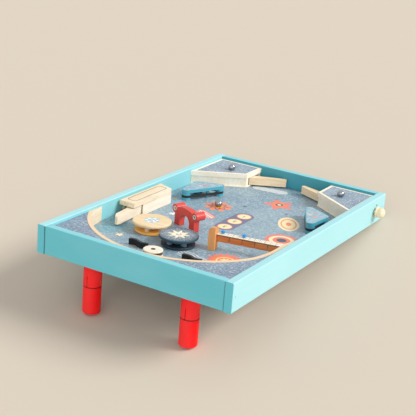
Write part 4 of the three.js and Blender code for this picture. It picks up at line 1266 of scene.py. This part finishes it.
def helix(length, turns, radius, wire):
    """A closed round wire wound about X."""
    form = bmesh.new()
    steps = int(turns * SPRING_STEPS)
    run = length - 2 * wire
    sides = [FULL_TURN * s / SPRING_SIDES for s in range(SPRING_SIDES)]
    rings = []
    for i in range(steps + 1):
        t = i / steps
        a = FULL_TURN * turns * t
        out = Vector((0, math.cos(a), math.sin(a)))
        centre = Vector((wire + run * t, 0, 0)) + out * radius
        along = Vector((run / (FULL_TURN * turns), -radius * math.sin(a), radius * math.cos(a)))
        across = along.normalized().cross(out)
        points = [centre + (out * math.cos(b) + across * math.sin(b)) * wire for b in sides]
        rings.append([form.verts.new(p) for p in points])
    for low, high in zip(rings, rings[1:]):
        for s in range(SPRING_SIDES):
            n = (s + 1) % SPRING_SIDES
            form.faces.new((low[s], low[n], high[n], high[s]))
    form.faces.new(rings[0][::-1])
    form.faces.new(rings[-1])
    return form


def add_spring(side, node, joint, turns):
    """A return spring wound from its fixed end towards its button."""
    low, high, middle = tray_box(node)
    length = high.x - low.x
    radius = (high.z - low.z) / 2 - SPRING_WIRE
    mesh = finish_mesh(helix(length, turns, radius, SPRING_WIRE), node)
    fixed = low.x if side > 0 else high.x
    turn = (0, 0, 0) if side > 0 else (0, 0, HALF_TURN)
    place = at(fixed, middle.y, middle.z, turn)
    piece = add_piece(node + "_piece", mesh, dark_steel, node, place, [node])
    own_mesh(piece)


def add_kicker():
    refine("kicker_box", WOOD_EDGE, pine_y)
    cover = wooden("kicker_cover_pine", COVER, ALONG_Y, kicker_prints)
    refine("kicker_cover", WOOD_EDGE, cover)
    lean = (0, 0, QUARTER_TURN + KICKER_LEAN)
    refine("kicker_lever", WOOD_EDGE, wooden("kicker_lever_pine", PALE, lean))
    add_pin("kicker_pivot_pin")
    add_button(1, "kicker")


# Pieces that stand on the deck


def add_spinner(name, disc_material, base_material, peg_material):
    node = "spinner_" + name
    low, high, middle = tray_box(node + "_disc")
    half = (high.z - low.z) / 2
    body = drum((high.x - low.x) / 2, -half, half, DISC_CUT)
    profile = [(AXLE_BORE, -half), *body, (AXLE_BORE, half), (AXLE_BORE, -half)]
    turn_node(node + "_disc", profile, disc_material, at(*middle), 0.7)
    base_low, base_high, _ = tray_box(node + "_base")
    profile = tube(AXLE_BORE, (base_high.x - base_low.x) / 2, BASE_THICKNESS)
    place = at(middle.x, middle.y, base_low.z)
    turn_node(node + "_base", profile, base_material, place, 0.7)
    height = low.z - base_low.z - BASE_THICKNESS - HUB_GAP
    centre = (middle.x, middle.y, base_low.z + BASE_THICKNESS + HUB_SEAT)
    add_hub(name, centre, height, peg_material)
    add_axle(node + "_axle")


def add_hub(name, centre, height, material):
    """The hub and pegs between a spinner's two discs, which the base's node holds as one."""
    node = "spinner_" + name
    base = node + "_base"
    hub = tube(AXLE_BORE, HUB_RADIUS, height)
    label = node + "_hub"
    add_piece(label, turned(hub, 0.3, TURN_STEPS, label), material, base, at(*centre))
    peg = [(0, 0), (PEG_RADIUS, 0), (PEG_RADIUS, height), (0, height)]
    for i in range(PEG_COUNT):
        a = SPINNER_TURN[name] + FULL_TURN * i / PEG_COUNT
        x = centre[0] + PEG_CIRCLE * math.cos(a)
        y = centre[1] + PEG_CIRCLE * math.sin(a)
        label = node + "_peg_" + str(i + 1)
        mesh = turned(peg, 0.25, SMALL_STEPS, label)
        add_piece(label, mesh, material, base, at(x, y, centre[2]))


def add_axle(node):
    low, high, middle = tray_box(node)
    head = (high.x - low.x) / 2
    under = high.z - AXLE_HEAD
    edge = under + AXLE_EDGE
    profile = [(0, low.z), (AXLE_RADIUS, low.z), (AXLE_RADIUS, under), (head, under)]
    profile.append((head, edge))
    for i in range(1, AXLE_HEAD_STEPS):
        t = i / AXLE_HEAD_STEPS
        x = head - (head - AXLE_DIMPLE) * t
        profile.append((x, edge + (AXLE_HEAD - AXLE_EDGE) * math.sin(t * QUARTER_TURN)))
    profile += [(r, high.z - depth) for r, depth in AXLE_DIMPLE_PROFILE]
    turn_node(node, profile, nickel, at(middle.x, middle.y, 0), 0.12, HEAD_STEPS)


def cap_profile(radius, thick):
    groove_top = thick - CAP_RIM
    groove_foot = groove_top - CAP_GROOVE
    foot = [(0, 0), (radius - CAP_CUT, 0), (radius, CAP_CUT), (radius, groove_foot)]
    groove = [(CAP_NECK, groove_foot), (CAP_NECK, groove_top), (radius, groove_top)]
    rim = [(radius, thick - CAP_CUT), (radius - CAP_TOP_CUT, thick)]
    hole = [(r, thick - depth) for r, depth in CAP_HOLE_PROFILE]
    return foot + groove + rim + hole


def add_bumper():
    low, high, middle = tray_box("bumper_cap")
    thick = high.z - low.z
    profile = cap_profile((high.x - low.x) / 2, thick)
    place = at(middle.x, middle.y, low.z)
    turn_node("bumper_cap", profile, cap_material(thick), place, 0.5)
    low, high, _ = tray_box("bumper_stem")
    foot = (high.x - low.x) / 2
    tall = high.z - low.z
    profile = [(0, 0), (foot, 0), (foot, STEM_FOOT)]
    profile += [(STEM_RADIUS, STEM_FOOT), (STEM_RADIUS, tall), (0, tall)]
    turn_node("bumper_stem", profile, turned_pine, at(middle.x, middle.y, low.z), 0.8)


def add_gate():
    refine("gate_arch", GATE_EDGE, gate_paint, 4)
    paint = plug_material()
    face = PLUG_DEPTH / 2
    facing = Matrix.Rotation(GATE_TURN, 4, "Z") @ Matrix.Rotation(-QUARTER_TURN, 4, "X")
    for hand in HANDS:
        node = "gate_plug_" + hand
        low, high, middle = tray_box(node)
        radius = (high.z - low.z) / 2
        edge = [(radius, face - PLUG_CUT[1]), (radius - PLUG_CUT[0], face)]
        screw = [(r, face - depth) for r, depth in PLUG_SCREW]
        profile = [(0, -face), (radius, -face), *edge, *screw]
        turn_node(node, profile, paint, at(*middle) @ facing, 0.2, HEAD_STEPS)


def add_bridge():
    refine("bridge_post", POST_EDGE, wooden("post_rust", RUST, UPRIGHT), 4)
    along = (0, 0, BRIDGE_TURN)
    refine("bridge_slat", FINE_EDGE, wooden("slat_pine", PALE, along, slat_prints))
    rust = wooden("flap_rust", FLAP, along)
    for i in range(1, FLAP_COUNT + 1):
        refine("bridge_flap_" + str(i), FINE_EDGE, rust)
    refine("flap_rod", ROD_EDGE, dark_steel, 2)
    for node in ("score_peg_1", "score_peg_2"):
        add_score_peg(node)


def add_score_peg(node):
    low, high, middle = tray_box(node)
    radius = (high.x - low.x) / 2
    foot = math.asin(SCORE_PIN / radius) - QUARTER_TURN
    half = SCORE_DOME_SHARE * radius
    top = high.z - low.z
    dome = arc(0, top - half, radius, half, foot, QUARTER_TURN, SCORE_STEPS)
    pin = [(0, 0), (SCORE_PIN - SCORE_PIN_CUT[0], 0), (SCORE_PIN, SCORE_PIN_CUT[1])]
    profile = pin + dome[:-1] + [(0, top)]
    place = at(middle.x, middle.y, low.z)
    turn_node(node, profile, blue_peg_paint, place, 0.1, HEAD_STEPS)


def add_slings():
    for hand in HANDS:
        name = "sling_" + hand
        paint = sling_material(name + "_print", name + "_frame")
        refine(name + "_frame", WOOD_EDGE, paint)
        refine(name + "_band", BAND_EDGE, rubber)


def add_fences():
    for hand in HANDS:
        refine("fence_" + hand, FINE_EDGE, black_paint)


def add_balls():
    for node in ("ball_on_deck", "ball_on_cover_right", "ball_on_cover_left"):
        low, high, middle = tray_box(node)
        radius = (high.z - low.z) / 2
        curve = arc(0, 0, radius, radius, -QUARTER_TURN, QUARTER_TURN, BALL_STEPS)
        profile = [(0, -radius), *curve[1:-1], (0, radius)]
        turn_node(node, profile, polished, at(*middle), 0)


# Numbers


def add_number(text, spot, size, turn, node, name):
    """A plain number as a thin printed form just over a surface."""
    curve = bpy.data.curves.new(name, "FONT")
    curve.body = text
    curve.size = size
    curve.align_x = curve.align_y = "CENTER"
    curve.extrude = NUMBER_THICKNESS / 2
    holder = put_in_scene(name + "_line", curve)
    bpy.context.view_layer.update()
    shown = holder.evaluated_get(bpy.context.evaluated_depsgraph_get())
    made = bpy.data.meshes.new_from_object(shown)
    bpy.data.objects.remove(holder)
    form = bmesh.new()
    form.from_mesh(made)
    bmesh.ops.remove_doubles(form, verts=form.verts, dist=NUMBER_MERGE_GAP)
    x, y, level = spot
    place = at(x, y, level + NUMBER_GAP + NUMBER_THICKNESS / 2, (0, 0, turn))
    add_piece(name, finish_mesh(form, name), ink, node, place)


def add_numbers():
    for text, y in NUMBER_ROWS.items():
        spot = (NUMBER_X, y, DECK_Z)
        add_number(text, spot, NUMBER_SIZE, 0, "play_panel", "capsule_number_" + text)
    level = tray_box("bridge_slat")[1].z
    run = SLAT_RUN - 2 * SLAT_MARGIN
    turn = Matrix.Rotation(BRIDGE_TURN, 3, "Z")
    start = Vector((*BRIDGE_PLACE, level))
    for i in range(SLAT_NUMBERS):
        along = SLAT_MARGIN + i * run / (SLAT_NUMBERS - 1)
        spot = start + turn @ Vector((along, SLAT_NUMBER_ACROSS, 0))
        label = "slat_number_" + str(i)
        facing = BRIDGE_TURN + HALF_TURN
        add_number(str(i), spot, SLAT_NUMBER_SIZE, facing, "bridge_slat", label)


# Studio


def add_floor():
    form = bmesh.new()
    bmesh.ops.create_grid(form, x_segments=FLOOR_CELLS, y_segments=FLOOR_CELLS, size=FLOOR_HALF)
    mesh = bpy.data.meshes.new("floor")
    form.to_mesh(mesh)
    form.free()
    floor = put_in_scene("floor", mesh)
    look = Look("floor_pale")
    look.colour = linear(FLOOR_COLOUR)
    floor.data.materials.append(look.done(FLOOR_ROUGHNESS))


def add_lamps():
    for name, direction, strength, spread, colour in LAMPS:
        lamp = bpy.data.lights.new(name, "SUN")
        lamp.energy = strength
        lamp.angle = spread
        lamp.color = colour
        holder = put_in_scene(name, lamp)
        holder.rotation_euler = Vector(direction).to_track_quat("Z", "Y").to_euler()


def add_world():
    """Even light from all round, seen as plain white by the camera and in reflections."""
    world = bpy.data.worlds.new("studio")
    bpy.context.scene.world = world
    world.use_nodes = True
    nodes, join = world.node_tree.nodes, world.node_tree.links.new
    nodes.clear()
    path = nodes.new("ShaderNodeLightPath")
    seen = path.outputs["Is Camera Ray"]
    for ray in ("Is Glossy Ray", "Is Transmission Ray"):
        either = nodes.new("ShaderNodeMath")
        either.operation = "MAXIMUM"
        join(seen, either.inputs[0])
        join(path.outputs[ray], either.inputs[1])
        seen = either.outputs[0]
    mix = nodes.new("ShaderNodeMixShader")
    join(seen, mix.inputs[0])
    for slot, strength in ((1, SKY_STRENGTH), (2, BACKGROUND_STRENGTH)):
        shade = nodes.new("ShaderNodeBackground")
        shade.inputs["Color"].default_value = SKY_COLOUR
        shade.inputs["Strength"].default_value = strength
        join(shade.outputs[0], mix.inputs[slot])
    join(mix.outputs[0], nodes.new("ShaderNodeOutputWorld").inputs["Surface"])


def add_camera():
    lens = bpy.data.cameras.new("camera")
    lens.lens = CAMERA_LENS
    lens.sensor_width = CAMERA_SENSOR
    lens.sensor_fit = "HORIZONTAL"
    camera = put_in_scene("camera", lens)
    place = Vector(CAMERA_PLACE)
    aim = (Vector(CAMERA_AIM) - place).to_track_quat("-Z", "Y").to_matrix().to_4x4()
    roll = Matrix.Rotation(CAMERA_ROLL, 4, "Z")
    camera.matrix_world = Matrix.Translation(place) @ aim @ roll
    bpy.context.scene.camera = camera


def clear_defaults():
    """Removes what a new file holds besides the frame."""
    known = set(frame["nodes"].values()) | set(frame["bodies"].values())
    for item in list(bpy.context.scene.objects):
        if item not in known and item.type in ("MESH", "LIGHT", "CAMERA"):
            bpy.data.objects.remove(item)


def build():
    clear_defaults()
    add_camera()
    add_world()
    add_lamps()
    add_floor()
    add_frame()
    add_rail()
    add_legs()
    add_flippers()
    add_kicker()
    honey = wooden("spinner_pine", HONEY, prints=hub_print)
    add_spinner("plain", honey, orange_stain, turned_pine)
    add_spinner("compass", compass_material(), navy_paint, steel_blue_paint)
    add_bumper()
    add_fences()
    add_gate()
    add_bridge()
    add_slings()
    add_balls()
    add_numbers()
    bpy.context.scene.view_settings.view_transform = "Standard"


build()
